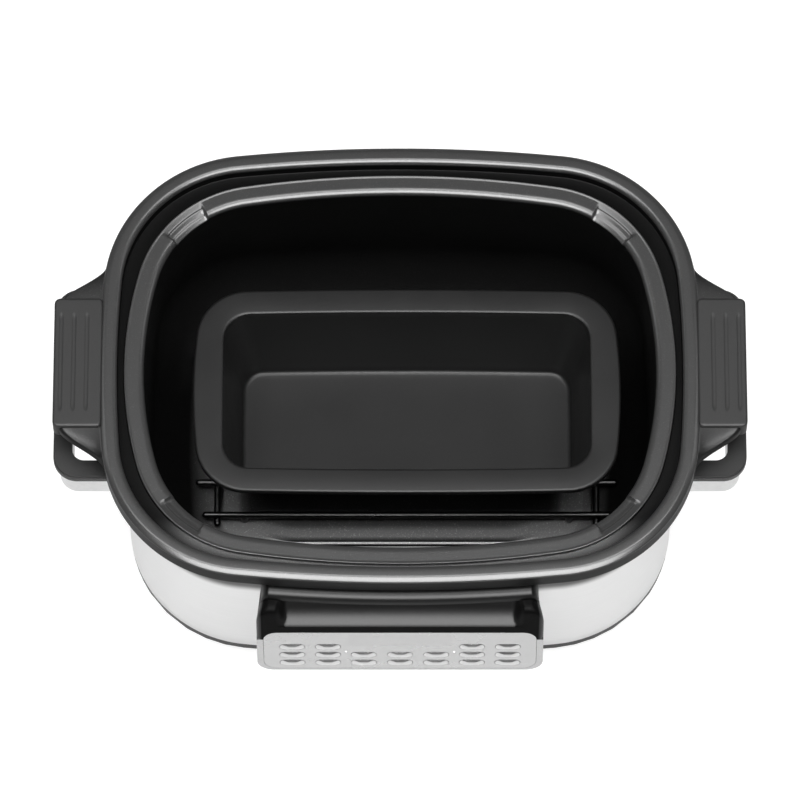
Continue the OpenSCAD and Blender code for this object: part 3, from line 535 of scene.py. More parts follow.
@dataclass(frozen=True)
class Outline:
    """A rounded loop of four side arcs and four corner arcs that meet smoothly."""

    half_w: float
    half_d: float
    long_r: float
    short_r: float
    corner_r: float

    def corner_centre(self) -> Point:
        """Find the centre of the first quarter's corner arc.

        Returns:
            Its X and Y.
        """
        sx, ly = self.half_w - self.short_r, self.half_d - self.long_r
        u, w = self.long_r - self.corner_r, self.short_r - self.corner_r
        d = math.hypot(sx, ly)
        along = (u * u - w * w + d * d) / (2 * d)
        aside = math.sqrt(u * u - along * along)
        return (sx * along - ly * aside) / d, ly - (ly * along + sx * aside) / d

    def corner_angles(self) -> Point:
        """Find where the first quarter's corner arc starts and ends.

        Returns:
            The two angles in radians.
        """
        cx, cy = self.corner_centre()
        short = math.atan2(cy, cx - self.half_w + self.short_r)
        long = math.pi / 2 - math.atan2(cx, cy - self.half_d + self.long_r)
        return short, long

    def loop(self, counts: tuple[int, int, int]) -> "Loop":
        """Sample the whole loop.

        Args:
            counts: Steps along a quarter's short side, corner and long side.

        Returns:
            The loop's points, normals and folded angles.
        """
        cx, cy = self.corner_centre()
        short, long = self.corner_angles()
        zones = ((0.0, short, self.half_w - self.short_r, 0.0, self.short_r),
                 (short, long, cx, cy, self.corner_r),
                 (long, math.pi / 2, 0.0, self.half_d - self.long_r, self.long_r))
        rows = []
        for (low, high, x, y, r), count in zip(zones, counts):
            for a in np.linspace(low, high, count, endpoint=False):
                rows.append((x + r * math.cos(a), y + r * math.sin(a), math.cos(a), math.sin(a), a))
        rows.append((0.0, self.half_d, 0.0, 1.0, math.pi / 2))
        quarter = np.array(rows)
        flips = [np.array([sx, sy, sx, sy, 1.0]) for sx, sy in ((1, 1), (-1, 1), (-1, -1), (1, -1))]
        whole = np.concatenate([quarter * flips[0], quarter[-2::-1] * flips[1], quarter[1:] * flips[2],
                                quarter[-2:0:-1] * flips[3]])
        return Loop(whole[:, :2], whole[:, 2:4], np.degrees(whole[:, 4]))


POT_OUTLINE = Outline(172.5, 136.0, 920.0, 640.0, 86.0)
FLANGE_OUTLINE = Outline(174.3, 136.0, 920.0, 640.0, 86.0)
LEDGE_OUTLINE = Outline(160.1, 121.6, 600.0, 230.0, 74.5)


@dataclass(frozen=True)
class Loop:
    """A sampled outline: its points, its outward normals and its angles folded into the first quarter."""

    points: np.ndarray
    normals: np.ndarray
    angles: np.ndarray

    def ring(self, offset: float, z: float) -> np.ndarray:
        """A level ring moved out from the outline."""
        flat = self.points + offset * self.normals
        return np.column_stack([flat, np.full(len(flat), z)])


def arc(centre: Point, radii: Point, start: float, end: float, steps: int) -> list[Point]:
    """Points of an arc of an ellipse.

    Args:
        centre: The centre, as distance out and height.
        radii: The radii in the same two directions.
        start: The first angle in degrees.
        end: The last angle in degrees.
        steps: The number of steps between them.

    Returns:
        The points, both ends included.
    """
    angles = np.radians(np.linspace(start, end, steps + 1))
    return [(centre[0] + radii[0] * math.cos(a), centre[1] + radii[1] * math.sin(a)) for a in angles]


def line(start: Point, end: Point, steps: int) -> list[Point]:
    """Points between two ends, without the first."""
    return [(start[0] + (end[0] - start[0]) * k / steps, start[1] + (end[1] - start[1]) * k / steps)
            for k in range(1, steps + 1)]


def smooth(value: np.ndarray) -> np.ndarray:
    """Ease a value from 0 to 1."""
    held = np.clip(value, 0.0, 1.0)
    return held * held * (3.0 - 2.0 * held)


def round_share(past: float, run: float) -> float:
    """How far a round edge has turned in, from 0 to 1, at a distance past its start."""
    share = min(1.0, max(0.0, past) / run)
    return 1.0 - math.sqrt(1.0 - share * share)


@dataclass(frozen=True)
class PotRing:
    """One ring of the casting: its place in the section and how it changes along the loop.

    Attributes:
        out: Distance out from the flange's outline.
        z: Height away from the ears.
        ear_x: Distance from the middle at an ear, or 0 where the ring doesn't reach into the ears.
        ear_z: Height at an ear.
        drop: How far the ring falls in the pour recesses.
        share: How far the ring follows the ledge's outline instead of the flange's.
        tone: How light its colour is painted, standing in for light and shade.
        shine: How much of the clear coat it has.
        crease: How much painted shade darkens it in the pour recesses.
        bead: How much higher it lies along the long sides.
        straight: How far it runs straight along the long sides.
        long_painted_light: Its painted light along the long sides, where that differs.
        front_painted_light: Its painted light where it faces the front, where that differs.
        ear_painted_light: Its painted light on the ears, where that differs.
        ear_shine: Its share of the clear coat on the ears, where that differs.
    """

    out: float
    z: float
    ear_x: float = 0.0
    ear_z: float = 0.0
    drop: float = 0.0
    share: float = 0.0
    tone: float = 1.0
    shine: float = 1.0
    crease: float = 0.0
    bead: float = 0.0
    straight: float = 0.0
    long_painted_light: float | None = None
    front_painted_light: float | None = None
    ear_painted_light: float | None = None
    ear_shine: float | None = None


@dataclass
class CookingPot:
    """The coated casting: cooking space, ledge with pour recesses, lid groove, flange and ears.

    Each of roll_arcs is a radius with the angles at which it starts and ends. Each of floor_bands is a
    ring's distance in from the flange's outline, its share of the floor's painted light and its height
    along the long sides. The floor's painted light gives a lit strip, the pan's shadow near the middle,
    and highlights on the beads with shade lines between them.
    """

    outline: Outline = FLANGE_OUTLINE
    ledge_outline: Outline = LEDGE_OUTLINE
    counts: tuple[int, int, int] = (40, 84, 28)
    split_deg: float = 45.0
    sharp_deg: float = 48.0
    edge_steps: int = 3
    flat_steps: int = 2
    rim_z: float = 158.0
    floor_z: float = 39.0
    floor_r: float = 36.0
    floor_steps: int = 14
    wall: float = 3.0
    wall_steps: int = 8
    lean: float = 3.0
    flange_w: float = 10.3
    flange_h: float = 15.0
    flange_edge: float = 3.2
    flange_steps: int = 8
    flange_foot: float = 1.0
    flange_side: float = 4.0
    roll_arcs: tuple[Triple, ...] = ((3.0, 0.0, 27.0), (10.0, 27.0, 42.0), (1.4, 42.0, 84.0))
    roll_steps: int = 5
    side_top: float = 2.9
    groove_w: float = 3.7
    groove_deep: float = 10.0
    groove_edge: float = 0.6
    groove_foot: float = 0.5
    ledge_w: float = 11.5
    ledge_drop: float = 7.5
    ledge_r: float = 4.0
    ledge_steps: int = 10
    ledge_y: float = -0.8
    lip_w: float = 0.8
    lip_h: float = 0.35
    recess_half: float = 13.45
    recess_ramp: float = 1.5
    recess_deep: float = 3.0
    crease_in: float = 4.5
    crease_deep: float = 1.3
    crease_w: float = 0.5
    crease_painted_shade: float = 0.7
    crease_steps: tuple[int, int] = (3, 4)
    # Painted light and shade on the floor: a painted shadow of the pan near the middle, a painted lit strip,
    # and painted highlights on the beads with painted shade lines between them.
    floor_bands: tuple[Triple, ...] = (
        (84.0, 0.2, 0.0), (79.5, 0.5, 0.0), (76.4, 1.2, 0.0), (72.6, 1.2, 0.0), (71.2, 0.45, 0.0),
        (70.0, 0.12, 0.0), (69.3, 0.12, 0.0), (68.8, 4.2, 0.5), (68.1, 4.2, 0.5), (67.6, 0.03, 0.0),
        (66.6, 0.03, 0.0), (66.1, 2.2, 0.4), (65.2, 2.0, 0.4), (64.7, 0.05, 0.0))
    bead_start: float = 72.0
    bead_light_share: float = 1.2
    long_half: float = 66.0
    long_fade: float = 24.0
    # Where the front's painted light starts and how quickly it comes in, by the outline's normal.
    front_from: float = 0.6
    front_ramp: float = 0.3
    # How bright the floor's painted light is, and how quickly it fades up the round to the wall.
    floor_painted_light: float = 4.0
    floor_light_fade: float = 4.0
    # Painted shade on the inner wall, and on the ledge's inner edge, lifting ring by ring.
    wall_painted_shade: float = 0.16
    edge_painted_shade: float = 0.4
    edge_shade_lift: float = 0.3
    # Painted shade in the lid groove, painted lighter again where the groove faces the front.
    groove_painted_shade: float = 0.10
    groove_front_painted_light: float = 3.0
    # Painted shade on the flange's outer side, which the ears' first rings lift again.
    side_painted_shade: float = 0.35
    side_shine: float = 0.0875
    dull: float = 0.03
    skirt_t: float = 3.2
    skirt_r: float = 1.0
    skirt_mid: float = 0.3
    bottom_in: float = 8.0
    ear_x: float = 197.5
    ear_t: float = 9.0
    ear_drop: float = 3.2
    ear_half: float = 38.0
    ear_flare: float = 24.0
    ear_edge: float = 2.5
    ear_root: float = 0.2
    ear_steps: tuple[int, int, int] = (4, 5, 3)
    ear_rings: int = 5
    ear_painted_light: float = 1.0
    ear_shine: float = 0.5

    @property
    def outer(self) -> float:
        """How far out the ledge's outer edge lies from the flange's outline, below 0."""
        return -(self.flange_w + self.groove_w)

    @property
    def inner(self) -> float:
        """How far out the ledge's inner edge lies from the flange's outline, below 0."""
        return self.outer - self.ledge_w

    @property
    def ledge_z(self) -> float:
        """The height of the ledge's top."""
        return self.rim_z - self.ledge_drop

    @property
    def bend(self) -> Point:
        """The centre of the round between floor and wall, as distance out and height."""
        return self.inner - self.lean - self.floor_r, self.floor_z + self.floor_r

    def build(self) -> None:
        """Loft the casting and stand it for its solid."""
        loop, ledge = self.outline.loop(self.counts), self.ledge_outline.loop(self.counts)
        rings = self.floor() + self.walls() + self.ledge() + self.flange() + self.ears() + self.outside()
        points = np.array([self.ring(loop, ledge, r) for r in rings])
        tone, shine = self.painted_lights(loop, rings)
        mesh = Skin(points, tone=tone, shine=shine).mesh("pot_casting", self.sharp_deg)
        Piece.place("pot_casting", mesh, POT_COAT, "pot", "pot_coating", ["cooking_pot"])

    def painted_lights(self, loop: Loop, rings: list[PotRing]) -> tuple[np.ndarray, np.ndarray]:
        """The painted light and shade, and the shine, of every point of the rings.

        Args:
            loop: The flange's outline.
            rings: The rings.

        Returns:
            The painted light and shade and the shines, a row for each ring.
        """
        recess, long, reach = self.recess_share(loop), self.long_share(loop), self.ear_share(loop)
        # Where the painted front light applies.
        front = smooth((-loop.normals[:, 1] - self.front_from) / self.front_ramp)
        painted_lights, shines = [], []
        for row in rings:
            tone, shine = np.full(len(loop.points), row.tone), np.full(len(loop.points), row.shine)
            for share, value in ((long, row.long_painted_light), (front, row.front_painted_light), (reach, row.ear_painted_light)):
                if value is not None:
                    tone += share * (value - tone)
            if row.ear_shine is not None:
                shine += reach * (row.ear_shine - shine)
            painted_lights.append(tone * (1.0 - row.crease * recess))
            shines.append(shine * (1.0 - row.crease * recess))
        return np.array(painted_lights), np.array(shines)

    def long_share(self, loop: Loop) -> np.ndarray:
        """How far each point of the loop lies in the middle of a long side, from 0 to 1."""
        along = 1.0 - smooth((np.abs(loop.points[:, 0]) - self.long_half) / self.long_fade)
        return np.where(loop.angles > self.split_deg, along, 0.0)

    def ear_share(self, loop: Loop) -> np.ndarray:
        """How far each point of the loop lies on an ear, from 0 to 1."""
        reach = 1.0 - smooth((np.abs(loop.points[:, 1]) - self.ear_half) / self.ear_flare)
        return np.where(loop.angles < self.split_deg, reach, 0.0)

    def ring(self, loop: Loop, ledge: Loop, row: PotRing) -> np.ndarray:
        """One ring of the casting.

        Args:
            loop: The flange's outline.
            ledge: The ledge's outline, with as many points.
            row: The ring's values.

        Returns:
            The ring's points.
        """
        made, long = loop.ring(row.out, row.z), self.long_share(loop)
        made[:, 2] += row.bead * long
        level = np.sign(made[:, 1]) * (self.outline.half_d + row.out)
        made[:, 1] += row.straight * long * (level - made[:, 1])
        if row.share:
            inner = ledge.ring(row.out - self.outer, row.z)
            made += row.share * (inner + (0.0, self.ledge_y, 0.0) - made)
        if row.ear_x:
            reach = self.ear_share(loop)
            made[:, 0] += reach * (np.sign(loop.points[:, 0]) * row.ear_x - made[:, 0])
            made[:, 2] += reach * (row.ear_z - made[:, 2])
        if row.drop:
            made[:, 2] -= self.recess_share(loop) * row.drop
        return made

    def recess_share(self, loop: Loop) -> np.ndarray:
        """How far each point of the loop lies in a pour recess.

        Args:
            loop: The flange's outline.

        Returns:
            A value from 0 to 1 for each point.
        """
        away = np.abs(loop.angles - math.degrees(sum(self.outline.corner_angles())) / 2)
        return smooth((self.recess_half + self.recess_ramp / 2 - away) / self.recess_ramp)

    def floor(self) -> list[PotRing]:
        """The floor with its beads and its painted light and shade, and the round that leads up to the wall.

        Returns:
            Rings from the floor's middle to the foot of the wall.
        """
        # Floor rings whose colour carries painted light and shade.
        rows = [PotRing(-spot, self.floor_z, shine=self.dull, bead=high, straight=1.0,
                        tone=self.floor_painted_light * (share if spot > self.bead_start else self.bead_light_share),
                        long_painted_light=self.floor_painted_light * share)
                for spot, share, high in self.floor_bands]
        low = arc(self.bend, (self.floor_r, self.floor_r), -90, 0, self.floor_steps)
        for k, (o, z) in enumerate(low):
            # The floor's painted light fades up the round into the wall's painted shade.
            tone = max(self.wall_painted_shade, self.floor_painted_light * (1 - k / self.floor_light_fade))
            rows.append(PotRing(o, z, tone=tone, shine=self.dull, long_painted_light=self.wall_painted_shade,
                                straight=1.0 - k / len(low)))
        return rows

    def walls(self) -> list[PotRing]:
        """The wall and the ledge's inner edge, which pass over to the ledge's own outline.

        Returns:
            Rings from the foot of the wall to the ledge's top.
        """
        r, half = self.ledge_r, self.recess_deep / 2
        foot, head = (self.bend[0] + self.floor_r, self.bend[1]), (self.inner, self.ledge_z - r)
        rows = []
        for k, (o, z) in enumerate(line(foot, head, self.wall_steps), 1):
            share = k / self.wall_steps
            # Painted shade on the inner wall.
            rows.append(PotRing(o, z, drop=half * share, share=share, tone=self.wall_painted_shade, shine=self.dull))
        edge = arc((self.inner + r, self.ledge_z - r), (r, r), 180, 90, self.ledge_steps)
        for k, (o, z) in enumerate(edge[1:]):
            # Painted shade that lifts ring by ring over the ledge's inner edge.
            light = min(1.0, self.edge_painted_shade + self.edge_shade_lift * k)
            drop = min(self.recess_deep, half + self.recess_deep * (k + 1) / self.ledge_steps)
            rows.append(PotRing(o, z, drop=drop, share=1.0, tone=light, shine=light))
        return rows

    def ledge(self) -> list[PotRing]:
        """The ledge's top with the creases of its pour recesses, its lip and its outer edge.

        Returns:
            Rings from the ledge's inner edge to the groove.
        """
        z, r, deep = self.ledge_z, self.groove_edge, self.crease_deep
        fall_steps, rise_steps = self.crease_steps
        crease = self.outer - self.crease_in
        start, end = (self.inner + self.ledge_r, z), (crease + self.crease_w, z)
        rows = []
        for k, (o, _) in enumerate(line(start, (crease - self.crease_w, z), fall_steps), 1):
            fall = self.recess_deep + (deep - self.recess_deep) * k / fall_steps
            rows.append(PotRing(o, z, drop=fall, share=1.0))
        # Painted shade along the crease of the pour recesses.
        rows.append(PotRing(crease, z, drop=deep, share=1.0, crease=self.crease_painted_shade))
        rows.append(PotRing(*end, drop=deep, share=1.0))
        foot, top = (self.outer - r - self.lip_w, z), (self.outer - r, z + self.lip_h)
        for k, (o, _) in enumerate(line(end, foot, rise_steps), 1):
            rows.append(PotRing(o, z, drop=deep * (1 - k / rise_steps), share=1.0))
        lip = line(foot, top, self.flat_steps)
        lip += arc((top[0], top[1] - r), (r, r), 90, 0, self.edge_steps)[1:]
        rows += [PotRing(*spot, share=1.0) for spot in lip]
        # The groove's foot carries painted shade, painted lighter where it faces the front.
        return rows + [PotRing(self.outer, z - r - self.groove_foot, share=1.0, tone=self.groove_painted_shade,
                               shine=self.dull, front_painted_light=self.groove_front_painted_light)]

    def flange(self) -> list[PotRing]:
        """The groove, the flange's inner edge and its top.

        Returns:
            Rings from the groove to the start of the ears.
        """
        inside, r = -self.flange_w, self.groove_edge
        low, e = self.rim_z - self.groove_deep, self.flange_edge
        near = arc((self.outer + r, low + r), (r, r), 180, 270, self.edge_steps)
        far = arc((inside - r, low + r), (r, r), 270, 360, self.edge_steps)
        far += line(far[-1], (inside, self.rim_z - e - self.flange_foot), self.edge_steps)
        path = arc((inside + e, self.rim_z - e), (e, e), 180, 90, self.flange_steps)
        path += line(path[-1], (-self.flange_side, self.rim_z), self.flat_steps)
        # Painted shade in the groove, painted lighter where it faces the front.
        dark = {"tone": self.groove_painted_shade, "shine": self.dull}
        rows = [PotRing(o, z, share=1.0, front_painted_light=self.groove_front_painted_light, **dark) for o, z in near]
        rows += [PotRing(o, z, **dark) for o, z in far]
        return rows + [PotRing(o, z) for o, z in path + self.roll()]

    def roll(self) -> list[Point]:
        """The roll from the flange's top to its outer side.

        Returns:
            Points of three arcs that run into each other.
        """
        o, z, made = -self.flange_side, self.rim_z, []
        for r, first, last in self.roll_arcs:
            start = math.radians(first)
            made += [(o + r * (math.sin(t) - math.sin(start)), z - r * (math.cos(start) - math.cos(t)))
                     for t in np.radians(np.linspace(first, last, self.roll_steps + 1))[1:]]
            o, z = made[-1]
        return made

    def ears(self) -> list[PotRing]:
        """The flange's outer side, which runs out round the ears.

        Returns:
            Rings from the ears' roots above to their roots below.
        """
        top, low = self.rim_z - self.ear_drop, self.rim_z - self.ear_drop - self.ear_t
        root, tip, e = self.outline.half_w - self.ear_root, self.ear_x - self.ear_edge, self.ear_edge
        over, turn, under = self.ear_steps
        ear = [(root, top)] + line((root, top), (tip, top), over)
        ear += arc((tip, top - e), (e, e), 90, 0, turn)[1:] + arc((tip, low + e), (e, e), 0, -90, turn)
        ear += line((tip, low), (root, low), under)
        start, skirt_z = self.rim_z - self.side_top, self.rim_z - self.flange_h
        foot = [(-self.skirt_mid, skirt_z + self.skirt_mid), (-self.skirt_r, skirt_z)]
        down = line((0.0, start), (0.0, skirt_z + self.skirt_r), len(ear) - len(foot) - 1)
        rows = []
        for k, ((o, z), (x, ear_z)) in enumerate(zip([(0.0, start)] + down + foot, ear)):
            # The ears' first rings lift the painted shade of the outer side.
            light = {"ear_painted_light": self.ear_painted_light, "ear_shine": self.ear_shine} if k < self.ear_rings else {}
            rows.append(PotRing(o, z, x, ear_z, tone=self.side_painted_shade, shine=self.side_shine, **light))
        return rows

    def outside(self) -> list[PotRing]:
        """The skirt's inner side and the pot's outside.

        Returns:
            Rings from the skirt down to the bottom.
        """
        skirt_z, under = self.rim_z - self.flange_h, self.rim_z - self.groove_deep - self.wall
        r, bottom = self.floor_r + self.wall, self.floor_z - self.wall
        rows = [PotRing(-self.skirt_t, skirt_z), PotRing(-self.skirt_t, under),
                PotRing(self.inner + self.wall, under, share=1.0)]
        path = arc(self.bend, (r, r), 0, -90, self.floor_steps) + [(self.bend[0] - self.bottom_in, bottom)]
        return rows + [PotRing(o, z) for o, z in path]


@dataclass
class EarGrip:
    """A ribbed rubber sleeve over one ear."""

    inner_x: float = 172.6
    outer_x: float = 200.7
    top_z: float = 158.0
    low_z: float = 142.6
    pocket_x: float = 197.7
    pocket_top: float = 155.0
    pocket_low: float = 145.6
    length: float = 80.0
    corner_r: float = 3.5
    edge_r: float = 1.4
    ribs: int = 3
    rib_edge: float = 4.2
    rib_pitch: float = 7.47
    rib_l: float = 59.0
    rib_w: float = 2.4
    rib_deep: float = 0.4
    draw_share: float = 0.6
    least_wall: float = 0.8
    end_steps: int = 8
    row_steps: int = 60
    top_steps: int = 88
    edge_steps: int = 5
    sharp_deg: float = 50.0

    def build(self, side: int, node: str) -> None:
        """Loft the sleeve along its ear.

        Args:
            side: 1 for the right ear and -1 for the left one.
            node: The CAD node that it stands for.
        """
        half, r = self.length / 2, self.corner_r
        ends = half - r * (1 - np.cos(np.radians(np.linspace(0, 90, self.end_steps + 1))))
        middle = np.linspace(-half + r, half - r, self.row_steps + 1)
        rows = np.unique(np.round(np.concatenate([-ends, middle, ends]), decimals=4))
        rings = np.array([self.section(y) for y in rows])
        rings[:, :, 0] *= side
        mesh = Skin(rings).mesh(f"{node}_sleeve", self.sharp_deg)
        Piece.place(f"{node}_sleeve", mesh, GRIP_RUBBER, "pot", "grip_rubber", [node])

    def section(self, y: float) -> np.ndarray:
        """The sleeve's section across the ear.

        Args:
            y: The place along the ear.

        Returns:
            The section's points, in a loop.
        """
        half, e, steps = self.length / 2, self.edge_r, self.edge_steps
        draw = self.corner_r * round_share(abs(y) - half + self.corner_r, self.corner_r)
        sink = e * round_share(abs(y) - half + e, e)
        x0, x1 = self.inner_x + self.draw_share * draw, self.outer_x - draw
        z0, z1 = self.low_z + sink, self.top_z - sink
        top = [(x, z1 - self.groove(x, y)) for x in np.linspace(x0 + e, x1 - e, self.top_steps + 1)]
        path = arc((x0 + e, z1 - e), (e, e), 180, 90, steps)[:-1] + top
        path += arc((x1 - e, z1 - e), (e, e), 90, 0, steps)[1:]
        path += arc((x1 - e, z0 + e), (e, e), 0, -90, steps)
        path += arc((x0 + e, z0 + e), (e, e), 270, 180, steps)
        deep, low, high = min(self.pocket_x, x1 - self.least_wall), self.pocket_low, self.pocket_top
        path += [(x0, low), (deep, low), (deep, high), (x0, high)]
        return np.array([(x, y, z) for x, z in path])

    def groove(self, x: float, y: float) -> float:
        """How deep the grooves are at a place on the sleeve's top."""
        straight = self.rib_l / 2 - self.rib_w / 2
        past = max(0.0, abs(y) - straight)
        deep = 0.0
        for k in range(self.ribs):
            away = math.hypot(x - self.outer_x + self.rib_edge + k * self.rib_pitch, past) / (self.rib_w / 2)
            deep = max(deep, self.rib_deep * math.sqrt(max(0.0, 1 - away * away)))
        return deep


@dataclass
class LoafPan:
    """The dark loaf pan with its wide bowed rim."""

    width: float = 250.0
    depth: float = 128.0
    height: float = 68.0
    low_z: float = 50.6
    mouth_w: float = 216.0
    mouth_d: float = 100.0
    lean: float = 10.5
    sheet: float = 1.0
    lip: float = 4.0
    rim_bow: float = 330.0
    rim_r: float = 30.0
    mouth_r: float = 16.0
    floor_r: float = 13.0
    bend: float = 3.0
    edge: float = 1.5
    straight: float = 4000.0
    shift: Point = (4.0, -2.0)
    counts: tuple[int, int, int] = (14, 26, 12)
    tip_r: float = 4.0
    wall_span: Point = (0.06, 0.985)
    wall_steps: int = 12
    wall_in: float = 0.4
    bend_turn: tuple[float, float, int] = (0.0, 80.0, 7)
    mouth_turn: tuple[float, float, int] = (20.0, 90.0, 6)
    rim_turn: tuple[float, float, int] = (90.0, 0.0, 6)
    under_turn: tuple[float, float, int] = (75.0, 0.0, 6)
    sharp_deg: float = 50.0

    def ring(self, w: float, d: float, bow: float, r: float, z: float) -> np.ndarray:
        """A level ring of the pan.

        Args:
            w: Its width.
            d: Its depth.
            bow: The radius of its short sides.
            r: The radius of its corners.
            z: Its height.

        Returns:
            The ring's points.
        """
        made = Outline(w / 2, d / 2, self.straight, bow, r).loop(self.counts).ring(0.0, z)
        return made + np.array([*self.shift, 0.0])

    def rim(self, shy: float, r: float, z: float) -> np.ndarray:
        """A ring of the wide rim, narrower than its edge by a distance."""
        return self.ring(self.width - shy, self.depth - shy, self.rim_bow, r, z)

    def well(self, grow: float, r: float, z: float) -> np.ndarray:
        """A ring of the pan's well, wider than its floor by a distance."""
        grow -= 2 * self.lean
        return self.ring(self.mouth_w + grow, self.mouth_d + grow, self.straight, r, z)

    def build(self) -> None:
        """Loft the pan and stand it for its solid."""
        low, floor, top = self.low_z, self.low_z + self.sheet, self.low_z + self.height
        bend, edge, t = self.bend, self.edge, 2 * self.sheet
        rings = [self.well(-4 * bend, self.tip_r, floor)]
        for a in np.radians(np.linspace(*self.bend_turn)):
            shy = 2 * bend * (1 - math.sin(a))
            rings.append(self.well(-shy, self.floor_r - shy / 2, floor + bend * (1 - math.cos(a))))
        for share in np.linspace(*self.wall_span, self.wall_steps):
            z = floor + bend + (self.height - self.sheet - bend - edge) * share
            r = self.floor_r + (self.mouth_r - self.floor_r) * share
            rings.append(self.well(2 * self.lean * share - self.wall_in, r, z))
        for a in np.radians(np.linspace(*self.mouth_turn)):
            grow = 2 * self.lean - edge + 2 * edge * (1 - math.cos(a))
            rings.append(self.well(grow, self.mouth_r, top - edge * (1 - math.sin(a))))
        for a in np.radians(np.linspace(*self.rim_turn)):
            rings.append(self.rim(2 * edge * (1 - math.cos(a)), self.rim_r, top - edge * (1 - math.sin(a))))
        under, inner_r = top - self.sheet - edge / 3, self.rim_r - self.sheet
        rings += [self.rim(0.0, self.rim_r, top - self.lip), self.rim(t, inner_r, top - self.lip),
                  self.rim(t, inner_r, under),
                  self.well(2 * self.lean + t, self.mouth_r + self.sheet, under),
                  self.well(t, self.floor_r + self.sheet, low + bend)]
        for a in np.radians(np.linspace(*self.under_turn)):
            shy = 2 * bend * (1 - math.sin(a)) - t
            rings.append(self.well(-shy, self.floor_r - max(shy, 0) / 2, low + bend * (1 - math.cos(a))))
        rings.append(self.well(-4 * bend, self.tip_r, low))
        mesh = Skin(np.array(rings)).mesh("loaf_pan_skin", self.sharp_deg)
        Piece.place("loaf_pan_skin", mesh, PAN_COAT, "pan", "pan_coating", ["loaf_pan"])


class NodeModel:
    """A geometry node tree with named inputs, and the way to turn its result into a plain mesh."""

    def __init__(self, name: str, inputs: dict[str, str]) -> None:
        """Start a tree.

        Args:
            name: The tree's name.
            inputs: Socket types by input name.
        """
        self.tree = bpy.data.node_groups.new(name, "GeometryNodeTree")
        self.graph = Graph(self.tree)
        sockets = self.tree.interface
        self.keys = {label: sockets.new_socket(label, in_out="INPUT", socket_type=kind).identifier
                     for label, kind in inputs.items()}
        sockets.new_socket("Geometry", in_out="OUTPUT", socket_type="NodeSocketGeometry")
        self.source = self.graph.add("NodeGroupInput")
        self.sink = self.graph.add("NodeGroupOutput")

    def __getitem__(self, label: str) -> bpy.types.NodeSocket:
        """The socket of a named input."""
        return self.source.outputs[label]

    def close(self, geometry: bpy.types.NodeSocket) -> None:
        """End the tree in Realize Instances and Set Material."""
        real = self.graph.add("GeometryNodeRealizeInstances", {0: geometry}).outputs[0]
        dressed = self.graph.add("GeometryNodeSetMaterial", {"Geometry": real, "Material": self["Finish"]})
        self.graph.link(dressed.outputs[0], self.sink.inputs[0])

    def mesh(self, name: str, values: dict[str, Any]) -> bpy.types.Mesh:
        """Run the tree and keep its result.

        Args:
            name: The mesh's name.
            values: Input values by name.

        Returns:
            A plain mesh.
        """
        holder = bpy.data.objects.new(f"{name}_holder", bpy.data.meshes.new(f"{name}_empty"))
        bpy.context.scene.collection.objects.link(holder)
        modifier = holder.modifiers.new("model", "NODES")
        modifier.node_group = self.tree
        for label, value in values.items():
            modifier[self.keys[label]] = value
        graph = bpy.context.evaluated_depsgraph_get()
        made = bpy.data.meshes.new_from_object(holder.evaluated_get(graph))
        made.name = name
        holder.modifiers.remove(modifier)
        bpy.data.objects.remove(holder)
        return made


FLOAT, COUNT, VECTOR, FINISH = "NodeSocketFloat", "NodeSocketInt", "NodeSocketVector", "NodeSocketMaterial"
ROD_STEPS, ROD_SIDES, ROD_TIP = 6, 20, 1e-5


def rod_tree() -> bpy.types.NodeTree:
    """A node group that makes a wire along X with round ends.

    Returns:
        The group, with Length and Diameter inputs.
    """
    model = NodeModel("round_ended_wire", {"Length": FLOAT, "Diameter": FLOAT})
    g, steps = model.graph, ROD_STEPS
    radius = g.math("MULTIPLY", model["Diameter"], 0.5)
    last = 2 * steps + 1
    row = g.add("GeometryNodeMeshLine", {"Count": last + 1})
    index = g.add("GeometryNodeInputIndex").outputs[0]
    turn = g.math("MINIMUM", index, g.math("SUBTRACT", float(last), index))
    angle = g.math("MULTIPLY", g.math("SUBTRACT", 1.0, g.math("DIVIDE", turn, float(steps))), math.pi / 2)
    shy = g.math("MULTIPLY", radius, g.math("SUBTRACT", 1.0, g.math("SINE", angle)))
    reach = g.math("SUBTRACT", g.math("MULTIPLY", model["Length"], 0.5), shy)
    side = g.math("SUBTRACT", g.math("MULTIPLY", g.math("GREATER_THAN", index, steps + 0.5), 2.0), 1.0)
    spot = g.add("ShaderNodeCombineXYZ", {"X": g.math("MULTIPLY", reach, side)})
    moved = g.add("GeometryNodeSetPosition", {"Geometry": row.outputs[0], "Position": spot.outputs[0]})
    curve = g.add("GeometryNodeMeshToCurve", {0: moved.outputs[0]})
    thin = g.math("MAXIMUM", g.math("MULTIPLY", radius, g.math("COSINE", angle)), ROD_TIP)
    profile = g.add("GeometryNodeCurvePrimitiveCircle", {"Resolution": ROD_SIDES, "Radius": 1.0})
    skin = g.add("GeometryNodeCurveToMesh", {
        "Curve": curve.outputs[0], "Profile Curve": profile.outputs[0], "Scale": thin, "Fill Caps": True})
    g.link(skin.outputs[0], model.sink.inputs[0])
    return model.tree


